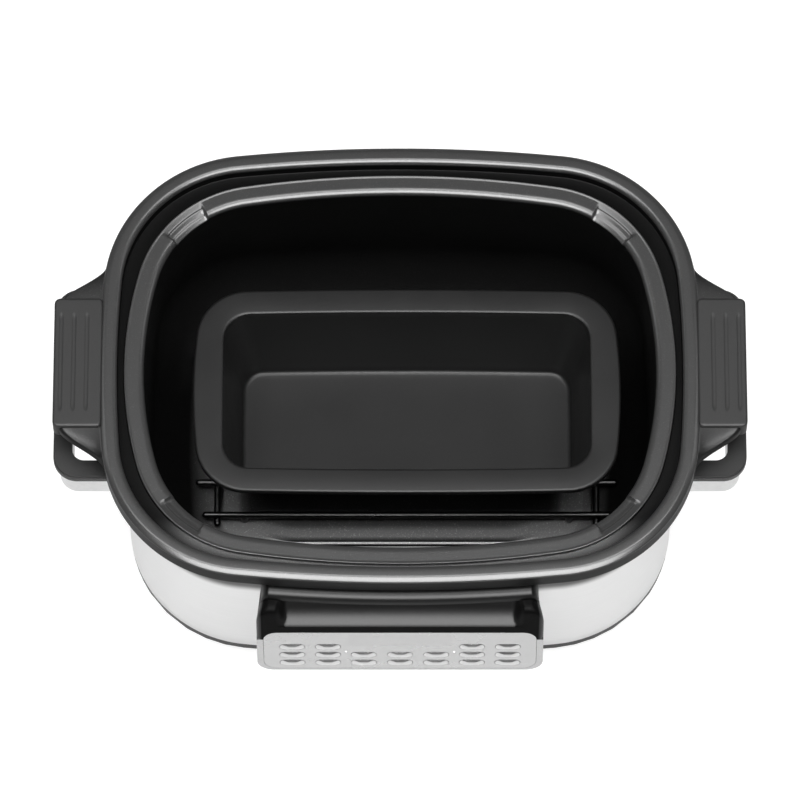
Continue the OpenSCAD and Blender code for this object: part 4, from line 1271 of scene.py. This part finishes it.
@dataclass
class WireRack:
    """The chromed rack: cross wires on two rails, standing on four legs."""

    wire_d: float = 4.0
    wires: int = 6
    pitch: float = 20.5
    length: float = 250.0
    trim: float = 4.0
    rail_span: float = 224.0
    leg_span: float = 192.0
    top_z: float = 50.3
    foot_z: float = 39.3
    weld: float = 0.4
    rail_past: float = 1.5
    shift: Point = (4.0, -2.0)
    sharp_deg: float = 50.0

    def build(self) -> None:
        """Run the rack's node tree and stand its mesh for the solid."""
        wire_z, span = self.top_z - self.wire_d / 2, (self.wires - 1) * self.pitch
        sizes = {"Wire": self.wire_d, "Length": self.length, "Outer": self.length - 2 * self.trim,
                 "Pitch": self.pitch, "Span": span, "Rail": span + 2 * self.rail_past * self.wire_d,
                 "Rail Span": self.rail_span, "Rail Drop": self.wire_d - self.weld,
                 "Leg Span": self.leg_span, "Leg": self.wire_d + self.weld,
                 "Leg Height": wire_z - self.foot_z}
        values = {label: size * MM for label, size in sizes.items()}
        tree = self.tree(list(sizes))
        values.update({"Inner Wires": self.wires - 2, "Finish": RACK_CHROME_SHADED.material(),
                       "Middle": Vector(to_frame([*self.shift, wire_z]))})
        mesh = smoothed(tree.mesh("rack_wires", values), self.sharp_deg)
        Piece.place("rack_wires", mesh, RACK_CHROME_SHADED, "rack", "rack_wire", ["wire_rack"])

    @staticmethod
    def tree(labels: Sequence[str]) -> NodeModel:
        """Build the rack's node tree.

        Args:
            labels: The names of the rack's sizes.

        Returns:
            The tree, with the rack's sizes as inputs.
        """
        others = {"Inner Wires": COUNT, "Middle": VECTOR, "Finish": FINISH}
        model = NodeModel("wire_rack", {**{label: FLOAT for label in labels}, **others})
        g, rod = model.graph, rod_tree()

        def wire(length: Any, diameter: Any) -> Any:
            """A wire along X."""
            inputs = {"Length": length, "Diameter": diameter}
            return g.add("GeometryNodeGroup", inputs, node_tree=rod).outputs[0]

        def vector(x: Any = 0.0, y: Any = 0.0, z: Any = 0.0) -> Any:
            """A vector of three values."""
            return g.add("ShaderNodeCombineXYZ", {"X": x, "Y": y, "Z": z}).outputs[0]

        def copies(shape: Any, count: Any, first: Any, step: Any, turn: Triple = (0.0, 0.0, 0.0)) -> Any:
            """Copies of a shape in a row."""
            row = g.add("GeometryNodeMeshLine", {"Count": count, "Start Location": first, "Offset": step})
            spread = {"Points": row.outputs[0], "Instance": shape, "Rotation": turn}
            return g.add("GeometryNodeInstanceOnPoints", spread).outputs[0]

        half = g.math("MULTIPLY", model["Span"], 0.5)
        first = g.math("SUBTRACT", model["Pitch"], half)
        inner = copies(wire(model["Length"], model["Wire"]), model["Inner Wires"], vector(y=first),
                       vector(y=model["Pitch"]))
        outer = copies(wire(model["Outer"], model["Wire"]), 2, vector(y=g.math("MULTIPLY", half, -1.0)),
                       vector(y=model["Span"]))
        rail_x = g.math("MULTIPLY", model["Rail Span"], -0.5)
        rails = copies(wire(model["Rail"], model["Wire"]), 2,
                       vector(x=rail_x, z=g.math("MULTIPLY", model["Rail Drop"], -1.0)),
                       vector(x=model["Rail Span"]), (0.0, 0.0, math.pi / 2))
        leg = wire(model["Leg Height"], model["Leg"])
        leg_x = g.math("MULTIPLY", model["Leg Span"], -0.5)
        leg_z = g.math("MULTIPLY", model["Leg Height"], -0.5)
        upright, apart = (0.0, math.pi / 2, 0.0), vector(x=model["Leg Span"])
        legs = [copies(leg, 2, vector(leg_x, g.math("MULTIPLY", half, sign), leg_z), apart, upright)
                for sign in (-1.0, 1.0)]
        whole = {"Geometry": g.join(inner, outer, rails, *legs), "Translation": model["Middle"]}
        model.close(g.add("GeometryNodeTransform", whole).outputs[0])
        return model


@dataclass
class SteelBase:
    """The brushed steel wrap, the collar and the tray with its feet."""

    outline: Outline = POT_OUTLINE
    counts: tuple[int, int, int] = (40, 60, 36)
    inset: float = 10.0
    sheet: float = 0.8
    low_z: float = 12.0
    top_z: float = 133.7
    hem: float = 0.35
    shade_z: float = 103.5
    shade_run: float = 10.5
    shade_tone: float = 0.06
    side_steps: int = 8
    edge_steps: int = 3
    sharp_deg: float = 40.0
    collar_edge: float = 0.8
    foot_edge: float = 0.5
    gland_edge: float = 0.6

    def build(self) -> None:
        """Loft the wrap and dress the solids of the base."""
        loop, hem = self.outline.loop(self.counts), self.hem
        out, back = -self.inset, -self.inset - self.sheet
        stops = (self.shade_z, self.shade_z + self.shade_run, self.top_z - hem)
        path = arc((out - hem, self.low_z + hem), (hem, hem), -90, 0, self.edge_steps)
        for stop, steps in zip(stops, (self.side_steps, self.side_steps, self.edge_steps)):
            path += line(path[-1], (out, stop), steps)
        path += arc((out - hem, self.top_z - hem), (hem, hem), 0, 90, self.edge_steps)[1:]
        path += [(back, self.top_z), (back, self.low_z)]
        rings = np.array([loop.ring(o, z) for o, z in path])
        shade = smooth((np.array([z for _, z in path]) - self.shade_z) / self.shade_run)
        tone = np.repeat((1.0 - (1.0 - self.shade_tone) * shade)[:, None], rings.shape[1], axis=1)
        mesh = Skin(rings, closed=True, tone=tone).mesh("steel_band", self.sharp_deg)
        Piece.place("steel_band", mesh, WRAP_STEEL, "base", "wrap_steel", ["steel_wrap"])
        Piece.rounded("top_collar", "base", "black_plastic", BLACK_PLASTIC, self.collar_edge)
        Piece.rounded("rubber_feet", "base", "foot_rubber", FOOT_RUBBER, self.foot_edge)
        Piece.rounded("cord_gland", "base", "black_plastic", BLACK_PLASTIC, self.gland_edge)
        Piece.dress("base_tray", BLACK_PLASTIC)
        Piece.dress("tray_screws", ZINC_STEEL)


@dataclass
class BaseHandles:
    """The two loop handles of the base: a black cap on a bright skirt."""

    cap_edge: float = 1.6
    cap_segments: int = 4
    skirt_edge: float = 0.5
    skirt_segments: int = 2

    def build(self) -> None:
        """Round the caps and skirts of both handles."""
        for side in ("left", "right"):
            Piece.rounded(f"{side}_handle_cap", "base", "handle_black", HANDLE_BLACK, self.cap_edge,
                          self.cap_segments)
            Piece.rounded(f"{side}_handle_skirt", "base", "skirt_silver", SKIRT_SILVER, self.skirt_edge,
                          self.skirt_segments)


@dataclass
class ControlHousing:
    """The black housing round the panel: a top ledge, a finger cove between two cheeks, a strip and a chin.

    A hair is the small step that keeps two edges of the loft apart.
    """

    outline: Outline = POT_OUTLINE
    half_w: float = 83.0
    wrap_in: float = 9.8
    ledge_out: float = 4.8
    ledge_z: float = 140.0
    ledge_edge: float = 5.0
    shoulder_x: float = 77.0
    shoulder_r: float = 6.0
    shoulder_drop: float = 3.0
    cove_z: float = 132.5
    cove_half: float = 72.0
    cove_ease: float = 7.0
    cove_back: float = -135.5
    cove_turn: float = 62.0
    cheek_z: float = 133.6
    brow_r: float = 5.0
    face_y: float = -152.5
    face_z: float = 88.0
    tilt: float = 10.0
    strip_y: float = 26.5
    strip_edge: float = 0.7
    face_half: Point = (79.2, 20.7)
    face_r: float = 8.2
    face_deep: float = 2.5
    pocket_half: Point = (75.0, 18.5)
    pocket_deep: float = 12.5
    bezel_top: float = 12.7
    bezel_deep: float = 9.2
    chin_y: float = -22.5
    chin_r: float = 14.0
    end_r: float = 3.0
    top_r: float = 8.0
    top_fall: float = 14.0
    taper: float = 3.0
    taper_y: float = -145.0
    taper_run: float = 11.0
    end_painted_highlight: float = 16.0
    hair: float = 0.02
    plain_half: float = 60.0
    plain_step: float = 2.0
    cheek_in: float = 1.0
    cheek_gap: float = 0.3
    end_steps: int = 10
    cove_steps: int = 14
    brow_steps: int = 8
    edge_steps: int = 6
    edge_share: float = 0.9
    seat_gap: float = 0.04
    bezel_gap: float = 0.05
    upper_gap: float = 0.1
    foot_gap: float = 0.2
    under_gap: float = 0.3
    sharp_deg: float = 36.0

    def stations(self) -> np.ndarray:
        """Choose where the sections lie, closest where the shape changes.

        Returns:
            The sections' X from end to end.
        """
        pocket, face = self.pocket_half[0], self.face_half[0]
        cheek, end = self.cove_half + self.cheek_in, self.half_w - self.end_r
        stretches = ((0.0, self.plain_half, 9), (self.plain_half + self.plain_step, cheek, 12),
                     (cheek + self.cheek_gap, pocket - self.hair, 4),
                     (pocket + self.hair, face - self.hair, 8), (face + self.hair, end, 3))
        turn = np.radians(np.linspace(90 / self.end_steps, 90, self.end_steps))
        half = np.concatenate([np.linspace(*s) for s in stretches] + [end + self.end_r * np.sin(turn)])
        return np.concatenate([-half[:0:-1], half])

    def build(self) -> None:
        """Loft the housing from end to end and stand it for its solid."""
        stations = self.stations()
        rings = np.array([[(x, y, z) for y, z in self.section(abs(x))] for x in stations])
        near = np.clip((np.abs(stations) - self.half_w + self.top_r) / self.top_r, 0.0, 1.0)
        back = np.clip((rings[:, :, 1] - self.taper_y) / self.taper_run, 0.0, 1.0)
        rings[:, :, 0] -= self.taper * (np.sign(stations) * near)[:, None] * back
        shine = np.array([self.shine(abs(x), rings.shape[1]) for x in stations])
        # Painted highlight on the housing's rounded ends, which are painted lighter.
        past = np.clip((np.abs(stations) - self.half_w + self.end_r) / self.end_r, 0.0, 1.0)
        tone = np.repeat((1.0 + self.end_painted_highlight * past ** 2)[:, None], rings.shape[1], axis=1)
        mesh = Skin(rings, tone=tone, shine=shine).mesh("housing_shell", self.sharp_deg)
        Piece.place("housing_shell", mesh, GLOSS_BLACK, "base", "gloss_black", ["control_housing"])

    def shine(self, x: float, count: int) -> np.ndarray:
        """Where a section has its clear coat: on the ledge and in the cove, not in the cheeks or the strip.

        Args:
            x: The distance from the middle.
            count: The number of points in the section.

        Returns:
            A value from 0 to 1 for each point.
        """
        start = len(self.ledge(x, 0.0, self.front(x, -self.wrap_in)))
        made = np.full(count, self.open_share(x))
        made[start + len(self.cove(x, 0.0, 0.0)) - 2:] = 0.0
        made[:start] = 1.0
        return np.maximum(made, float(x > self.half_w - self.end_r))

    def on_face(self, y: float, out: float) -> Point:
        """A point in the side view, from its height on the face and its distance out from it."""
        s, c = math.sin(math.radians(self.tilt)), math.cos(math.radians(self.tilt))
        return self.face_y + y * s - out * c, self.face_z + y * c + out * s

    def front(self, x: float, offset: float) -> float:
        """The Y of the pot's front outline at a place, moved out by an offset."""
        o = self.outline
        return o.long_r - o.half_d - math.sqrt((o.long_r + offset) ** 2 - x * x)

    def section(self, x: float) -> list[Point]:
        """The housing's section at a distance from its middle.

        Args:
            x: The distance from the middle.

        Returns:
            The section's Y and Z, from the top at the wrap forward, down and back to the wrap.
        """
        inset = self.end_r * round_share(x - self.half_w + self.end_r, self.end_r)
        fall = self.top_fall * round_share(x - self.half_w + self.top_r, self.top_r)
        wrap = self.front(x, -self.wrap_in)
        path = self.ledge(x, fall, wrap) + self.cove(x, inset, fall) + self.recess(x, inset)
        low = self.chin(x)
        deep = (wrap - self.on_face(low, 0.0)[0]) / math.cos(math.radians(self.tilt))
        return path + [self.on_face(low, -deep)]

    def ledge_front(self, x: float) -> float:
        """The Y of the ledge's front edge at a distance from the middle."""
        turned = self.shoulder_r * round_share(x - self.shoulder_x, self.shoulder_r)
        return max(self.front(x, self.ledge_out), self.front(0.0, self.ledge_out) + turned)

    def ledge(self, x: float, fall: float, wrap: float) -> list[Point]:
        """The ledge's top and front edge.

        Args:
            x: The distance from the middle.
            fall: How far the upper corner's rounding draws the top down.
            wrap: The Y of the steel wrap.

        Returns:
            Points from the wrap to the ledge's lower front edge.
        """
        past = x - self.shoulder_x - self.shoulder_r + self.shoulder_drop
        rise = (self.ledge_z - self.cheek_z) * (1.0 - round_share(past, self.shoulder_drop))
        top, low = self.cheek_z + rise - fall, self.ledge_foot(x) - fall
        y, e = self.ledge_front(x), min(self.ledge_edge, self.edge_share * (top - low) + self.hair)
        edge = arc((y + e, top - e), (e, e), 90, 180, self.edge_steps)
        return [(wrap, top), ((wrap + y) / 2, top)] + edge + [(y, low)]

    def open_share(self, x: float) -> float:
        """How far the section is in the cove: 1 in its middle and 0 in the cheeks."""
        return float(1 - smooth(np.array((x - self.cove_half + self.cove_ease) / self.cove_ease)))

    def ledge_foot(self, x: float) -> float:
        """The height of the ledge's lower front edge."""
        share = self.open_share(x)
        return share * self.cove_z + (1 - share) * (self.cheek_z - self.hair)

    def cove(self, x: float, inset: float, fall: float) -> list[Point]:
        """The cove's hollow, which closes to a plain cheek at both ends.

        Args:
            x: The distance from the middle.
            inset: How far the end's rounding draws the section in.
            fall: How far the upper corner's rounding draws the top down.

        Returns:
            Points from under the ledge to the strip above the face.
        """
        foot, turn = self.on_face(self.strip_y + self.strip_edge, -inset), math.radians(self.cove_turn)
        hollow = [(self.cove_back + (foot[0] - self.cove_back) * (1 - math.cos(a)) / (1 - math.cos(turn)),
                   self.cove_z + (foot[1] - self.cove_z) * math.sin(a) / math.sin(turn))
                  for a in np.linspace(0, turn, self.cove_steps + 1)]
        lean, r, top = math.radians(self.tilt), self.brow_r, self.cheek_z - fall
        along = (top - r + (r + inset) * math.sin(lean) - self.face_z) / math.cos(lean)
        middle = (self.on_face(along, -inset)[0] + r * math.cos(lean), top - r)
        bent = arc(middle, (r, r), 90, 180 - self.tilt, self.brow_steps)
        down = line(bent[-1], foot, self.cove_steps - self.brow_steps - 1)
        cheek, share = [(self.ledge_front(x), top)] + bent + down, self.open_share(x)
        path = [(share * h[0] + (1 - share) * c[0], share * h[1] + (1 - share) * c[1])
                for h, c in zip(hollow, cheek)]
        return path + [self.on_face(self.strip_y, -inset)]

    def recess(self, x: float, inset: float) -> list[Point]:
        """The strip's foot, the seat of the face, the pocket behind it and the seat of the bezel.

        Args:
            x: The distance from the middle.
            inset: How far the end's rounding draws the section in.

        Returns:
            Points from the strip down to the chin.
        """
        wide, tall = self.face_half
        top, seat = tall - self.face_r * round_share(x - wide + self.face_r, self.face_r), self.face_deep
        if x > wide:
            top, seat = self.bezel_top, self.bezel_deep
        deep = self.pocket_deep if x < self.pocket_half[0] else seat + self.seat_gap
        low, back = self.chin(x), self.bezel_deep + self.bezel_gap
        under = max(-self.pocket_half[1], low + self.under_gap)
        foot = max(-tall, low + self.foot_gap)
        upper = min(self.pocket_half[1], top - self.upper_gap)
        spots = [(top, -inset), (top, -seat), (upper, -seat), (upper, -deep), (under, -deep), (under, -seat),
                 (foot, -seat), (foot, -back), (low, -back)]
        return [self.on_face(y, out) for y, out in spots]

    def chin(self, x: float) -> float:
        """The height on the face of the underside, which rises round the lower corners."""
        return self.chin_y + self.chin_r * round_share(x - self.half_w + self.chin_r, self.chin_r)


@dataclass
class ControlPanel:
    """What the housing carries: the silver face in its bezel, the display window and the oval buttons."""

    width: float = 14.4
    height: float = 5.8
    proud: float = 1.2
    dome: float = 0.92
    dome_steps: int = 10
    dome_tip: float = 0.06
    end_share: float = 0.4999
    end_steps: int = 10
    lip_w: float = 16.5
    lip_h: float = 7.9
    lip_t: float = 1.0
    lip_top: float = -2.8
    button_sharp: float = 42.0
    window_half: Point = (29.48, 6.48)
    window_y: float = 11.5
    window_t: float = 1.7
    window_sunk: float = 0.02
    window_sharp: float = 30.0

    def build(self) -> None:
        """Build the housing and every piece of the panel."""
        ControlHousing().build()
        Piece.dress("face_bezel", BEZEL_SILVER)
        Piece.dress("control_face", FACE_SILVER)
        self.window()
        for node in ("display_module", "button_switches"):
            Piece.dress(node, BLACK_PLASTIC)
        Piece.dress("control_board", CIRCUIT_BOARD)
        tree = self.tree()
        for node in sorted(n for n in frame["nodes"] if n.startswith("button_") and n != "button_switches"):
            self.button(tree, node)

    def window(self) -> None:
        """Make the display window flush with the face and stand it for its solid."""
        wide, tall = self.window_half
        seat = ControlHousing()
        corners = [(-wide, -tall), (wide, -tall), (wide, tall), (-wide, tall)]
        rings = np.array([[(x, *seat.on_face(self.window_y + y, out)) for x, y in corners]
                          for out in (-self.window_t, -self.window_sunk)])
        mesh = Skin(rings).mesh("window_pane", self.window_sharp)
        Piece.place("window_pane", mesh, DISPLAY_LENS, "base", "display_lens", ["display_window"])

    def button(self, tree: NodeModel, node: str) -> None:
        """Make one domed button and stand it for its solid.

        Args:
            tree: The button's node tree.
            node: The CAD node, which is also its body's name.
        """
        press = next(j for j in frame["joints"] if j["child"] == node)
        out = -Vector(press["axis"]).normalized()
        low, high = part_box(node)
        across = Vector((1.0, 0.0, 0.0))
        up = out.cross(across)
        middle = (low + high) / 2
        corners = [v.co for v in frame["nodes"][node].data.vertices]
        reach = [(c - middle).dot(out) for c in corners]
        rise = [(c - middle).dot(up) for c in corners]
        spot = middle + up * ((max(rise) + min(rise)) / 2) + out * (max(reach) - self.proud * MM)
        tilt = math.atan2(out.z, -out.y)
        sizes = {"Width": self.width, "Height": self.height, "Proud": self.proud,
                 "Back": self.lip_top - self.lip_t, "Lip Width": self.lip_w, "Lip Height": self.lip_h,
                 "Lip": self.lip_t}
        values = {label: size * MM for label, size in sizes.items()}
        values.update({"Spot": spot, "Turn": Vector((math.pi / 2 - tilt, 0.0, 0.0)),
                       "Finish": BUTTON_SILVER.material()})
        mesh = smoothed(tree.mesh(f"{node}_cap", values), self.button_sharp)
        Piece.place(f"{node}_cap", mesh, BUTTON_SILVER, node, "button_silver", [node])

    def tree(self) -> NodeModel:
        """Build the node tree of a button: a lip, a stem and a dome on one oval plan.

        Returns:
            The tree, with the button's sizes and place as inputs.
        """
        labels = ("Width", "Height", "Proud", "Back", "Lip Width", "Lip Height", "Lip")
        others = {"Spot": VECTOR, "Turn": VECTOR, "Finish": FINISH}
        model = NodeModel("oval_button", {**{label: FLOAT for label in labels}, **others})
        g = model.graph

        def plan(width: Any, height: Any) -> Any:
            """A flat oval face of two half circles and two straight sides."""
            sides = {"Width": width, "Height": height}
            square = g.add("GeometryNodeCurvePrimitiveQuadrilateral", sides).outputs[0]
            radius = g.math("MULTIPLY", height, self.end_share)
            ends = {"Curve": square, "Radius": radius, "Count": self.end_steps}
            bent = g.add("GeometryNodeFilletCurve", ends, mode="POLY")
            return g.add("GeometryNodeFillCurve", {"Curve": bent.outputs[0]}, mode="NGONS").outputs[0]

        def raise_face(shape: Any, chosen: Any, rise: Any) -> tuple[Any, Any]:
            """Pull the chosen face up and return the shape and the new top."""
            inputs = {"Mesh": shape, "Offset": (0.0, 0.0, 1.0), "Offset Scale": rise}
            pulled = g.add("GeometryNodeExtrudeMesh", inputs, mode="FACES")
            if chosen is not None:
                g.link(chosen, pulled.inputs["Selection"])
            return pulled.outputs["Mesh"], pulled.outputs["Top"]

        def draw_in(shape: Any, chosen: Any, share: Any) -> Any:
            """Scale the chosen face about its middle."""
            inputs = {"Geometry": shape, "Selection": chosen, "Scale": share}
            return g.add("GeometryNodeScaleElements", inputs, domain="FACE").outputs[0]

        lip_size = (model["Lip Width"], model["Lip Height"])
        closed = g.add("GeometryNodeFlipFaces", {0: plan(*lip_size)}).outputs[0]
        lip, _ = raise_face(plan(*lip_size), None, model["Lip"])
        whole_lip = g.join(lip, closed)
        straight = g.math("SUBTRACT", g.math("SUBTRACT", model["Proud"], model["Back"]),
                          g.math("MULTIPLY", model["Proud"], self.dome))
        stem, top = raise_face(plan(model["Width"], model["Height"]), None, straight)
        shares = np.linspace(1.0, self.dome_tip, self.dome_steps + 1)
        heights = (1 - shares ** 2) / (1 - shares[-1] ** 2)
        for k in range(self.dome_steps):
            rise = g.math("MULTIPLY", model["Proud"], float(self.dome * (heights[k + 1] - heights[k])))
            stem, top = raise_face(stem, top, rise)
            stem = draw_in(stem, top, float(shares[k + 1] / shares[k]))
        back = g.add("ShaderNodeCombineXYZ", {"Z": model["Back"]}).outputs[0]
        whole = {"Geometry": g.join(whole_lip, stem), "Translation": back}
        sunk = g.add("GeometryNodeTransform", whole).outputs[0]
        turned = {"Geometry": sunk, "Rotation": model["Turn"], "Translation": model["Spot"]}
        model.close(g.add("GeometryNodeTransform", turned).outputs[0])
        return model


@dataclass
class HeatingCore:
    """What lies under the pot: the well, the plate, the element and the sprung sensor."""

    spring_wire: float = 1.2
    spring_r: float = 7.5
    turns: float = 4.0
    travel: float = 2.0
    coil_steps: int = 32
    wire_sides: int = 12
    plate_edge: float = 0.8
    cap_edge: float = 0.4

    def build(self) -> None:
        """Dress the solids and wind the sensor's spring."""
        Piece.dress("heating_well", WELL_SHEET)
        Piece.rounded("heating_plate", "base", "cast_plate", CAST_PLATE, self.plate_edge)
        Piece.dress("heating_element", ELEMENT_TUBE)
        Piece.rounded("sensor_cap", "sensor", "cast_plate", ZINC_STEEL, self.cap_edge)
        Piece.dress("sensor_clip", ZINC_STEEL)
        Piece.dress("power_board", CIRCUIT_BOARD)
        self.spring()

    def spring(self) -> None:
        """Wind the spring."""
        low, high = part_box("sensor_spring")
        model = NodeModel("sensor_coil", {"Wire": FLOAT, "Radius": FLOAT, "Turns": FLOAT, "Rise": FLOAT,
                                          "Spot": VECTOR, "Finish": FINISH})
        g = model.graph
        coil = g.add("GeometryNodeCurveSpiral", {
            "Resolution": self.coil_steps, "Rotations": model["Turns"], "Start Radius": model["Radius"],
            "End Radius": model["Radius"], "Height": model["Rise"]})
        profile = g.add("GeometryNodeCurvePrimitiveCircle", {
            "Resolution": self.wire_sides, "Radius": g.math("MULTIPLY", model["Wire"], 0.5)})
        skin = g.add("GeometryNodeCurveToMesh", {
            "Curve": coil.outputs[0], "Profile Curve": profile.outputs[0], "Fill Caps": True})
        placed = g.add("GeometryNodeTransform", {"Geometry": skin.outputs[0], "Translation": model["Spot"]})
        model.close(placed.outputs[0])
        wire = self.spring_wire * MM
        spot = Vector(((low.x + high.x) / 2, (low.y + high.y) / 2, low.z + wire / 2))
        values = {"Wire": wire, "Radius": self.spring_r * MM, "Turns": self.turns,
                  "Rise": high.z - low.z - wire, "Spot": spot, "Finish": ZINC_STEEL.material()}
        mesh = smoothed(model.mesh("sensor_coil", values))
        made = Piece.place("sensor_coil", mesh, ZINC_STEEL, "base", "zinc_steel", ["sensor_spring"])
        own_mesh(made)


@dataclass(frozen=True)
class Lamp:
    """A soft rectangular lamp that looks at a point."""

    name: str
    place: Triple
    aim: Triple
    size: Point
    power: float
    gloss_only: bool = False

    def build(self) -> None:
        """Put the lamp into the scene, where it lights surfaces or shows in their gloss alone."""
        data = bpy.data.lights.new(self.name, "AREA")
        data.shape = "RECTANGLE"
        data.size, data.size_y = self.size
        data.energy = self.power
        made = bpy.data.objects.new(self.name, data)
        made.location = self.place
        made.rotation_euler = (Vector(self.aim) - Vector(self.place)).to_track_quat("-Z", "Y").to_euler()
        made.visible_diffuse = not self.gloss_only
        bpy.context.scene.collection.objects.link(made)


@dataclass
class Studio:
    """The pale floor, the soft lamps and the camera of the reference view."""

    elevation: float = 68.2
    distance: float = 4.0
    lens: float = 311.6
    target: Triple = (0.0, -0.024, 0.158)
    sensor: float = 36.0
    clip_end: float = 50.0
    sky: float = 0.12
    floor_half: float = 12.0
    floor_shown: float = 0.88
    floor_mirrored: Point = (0.6, 0.1)
    floor_reach: Point = (0.30, 0.60)
    paper_tone: Point = (0.30, 0.32)
    fibre_scale: float = 60.0
    fibre_detail: float = 3.0
    lamps: tuple[Lamp, ...] = (
        Lamp("overhead_lamp", (0.0, -0.14, 1.9), (0.0, -0.14, 0.1), (1.9, 0.80), 46.0),
        Lamp("front_lamp", (0.0, -1.68, 1.72), (0.0, 0.0, 0.15), (3.0, 1.58), 260.0, True),
        Lamp("left_lamp", (-1.7, 0.5, 1.2), (0.0, 0.0, 0.15), (0.4, 1.1), 4.0),
        Lamp("right_lamp", (1.7, 0.5, 1.2), (0.0, 0.0, 0.15), (0.4, 1.1), 4.0),
    )

    def build(self) -> None:
        """Make the floor, the sky, the lamps and the camera."""
        scene = bpy.context.scene
        scene.view_settings.view_transform = "Standard"
        self.floor()
        self.world(scene)
        for lamp in self.lamps:
            lamp.build()
        data = bpy.data.cameras.new("reference_camera")
        data.lens = self.lens
        data.sensor_width = self.sensor
        data.clip_end = self.clip_end
        camera = bpy.data.objects.new("reference_camera", data)
        angle = math.radians(self.elevation)
        away = Vector((0.0, -math.cos(angle), math.sin(angle))) * self.distance
        camera.location = Vector(self.target) + Vector(SHIFT) + away
        camera.rotation_euler = (math.pi / 2 - angle, 0.0, 0.0)
        scene.collection.objects.link(camera)
        scene.camera = camera

    def floor(self) -> None:
        """Lay a pale floor that looks white and keeps the object's shadow."""
        half = self.floor_half
        corners = [(-half, -half, 0.0), (half, -half, 0.0), (half, half, 0.0), (-half, half, 0.0)]
        mesh = bpy.data.meshes.new("studio_floor")
        mesh.from_pydata(corners, [], [(0, 1, 2, 3)])
        floor = bpy.data.objects.new("studio_floor", mesh)
        bpy.context.scene.collection.objects.link(floor)
        made = bpy.data.materials.new("floor_paper")
        made.use_nodes = True
        made.node_tree.nodes.clear()
        g = Graph(made.node_tree)
        path = g.add("ShaderNodeLightPath")
        place = g.add("ShaderNodeTexCoord").outputs["Object"]
        away = g.add("ShaderNodeVectorMath", {0: place}, operation="LENGTH").outputs["Value"]
        near, far = self.floor_reach
        fade = g.add("ShaderNodeMapRange", {
            "Value": away, "From Min": near, "From Max": far, "To Min": self.floor_mirrored[0],
            "To Max": self.floor_mirrored[1]}, clamp=True)
        seen = g.math("ADD", g.math("MULTIPLY", path.outputs["Is Camera Ray"], self.floor_shown),
                      g.math("MULTIPLY", path.outputs["Is Glossy Ray"], fade.outputs[0]))
        fibre = g.add("ShaderNodeTexNoise", {
            "Vector": place, "Scale": self.fibre_scale, "Detail": self.fibre_detail})
        shade = g.add("ShaderNodeMapRange", {
            "Value": fibre.outputs["Fac"], "To Min": self.paper_tone[0], "To Max": self.paper_tone[1]})
        paper = g.add("ShaderNodeBsdfDiffuse", {"Color": shade.outputs[0]})
        glow = g.add("ShaderNodeEmission", {"Strength": seen})
        both = g.add("ShaderNodeAddShader", {0: paper.outputs[0], 1: glow.outputs[0]})
        sink = g.add("ShaderNodeOutputMaterial")
        g.link(both.outputs[0], sink.inputs["Surface"])
        mesh.materials.append(made)

    def world(self, scene: bpy.types.Scene) -> None:
        """Light the scene evenly from all round."""
        world = bpy.data.worlds.new("studio_sky")
        world.use_nodes = True
        back = world.node_tree.nodes["Background"]
        back.inputs["Color"].default_value = (1.0, 1.0, 1.0, 1.0)
        back.inputs["Strength"].default_value = self.sky
        scene.world = world


def main() -> None:
    """Build the cooker's pieces in order, then the studio."""
    logging.basicConfig(level=logging.INFO, format="%(message)s")
    CookingPot().build()
    EarGrip().build(-1, "left_grip")
    EarGrip().build(1, "right_grip")
    LoafPan().build()
    WireRack().build()
    SteelBase().build()
    BaseHandles().build()
    ControlPanel().build()
    HeatingCore().build()
    Studio().build()


if __name__ == "__main__":
    main()
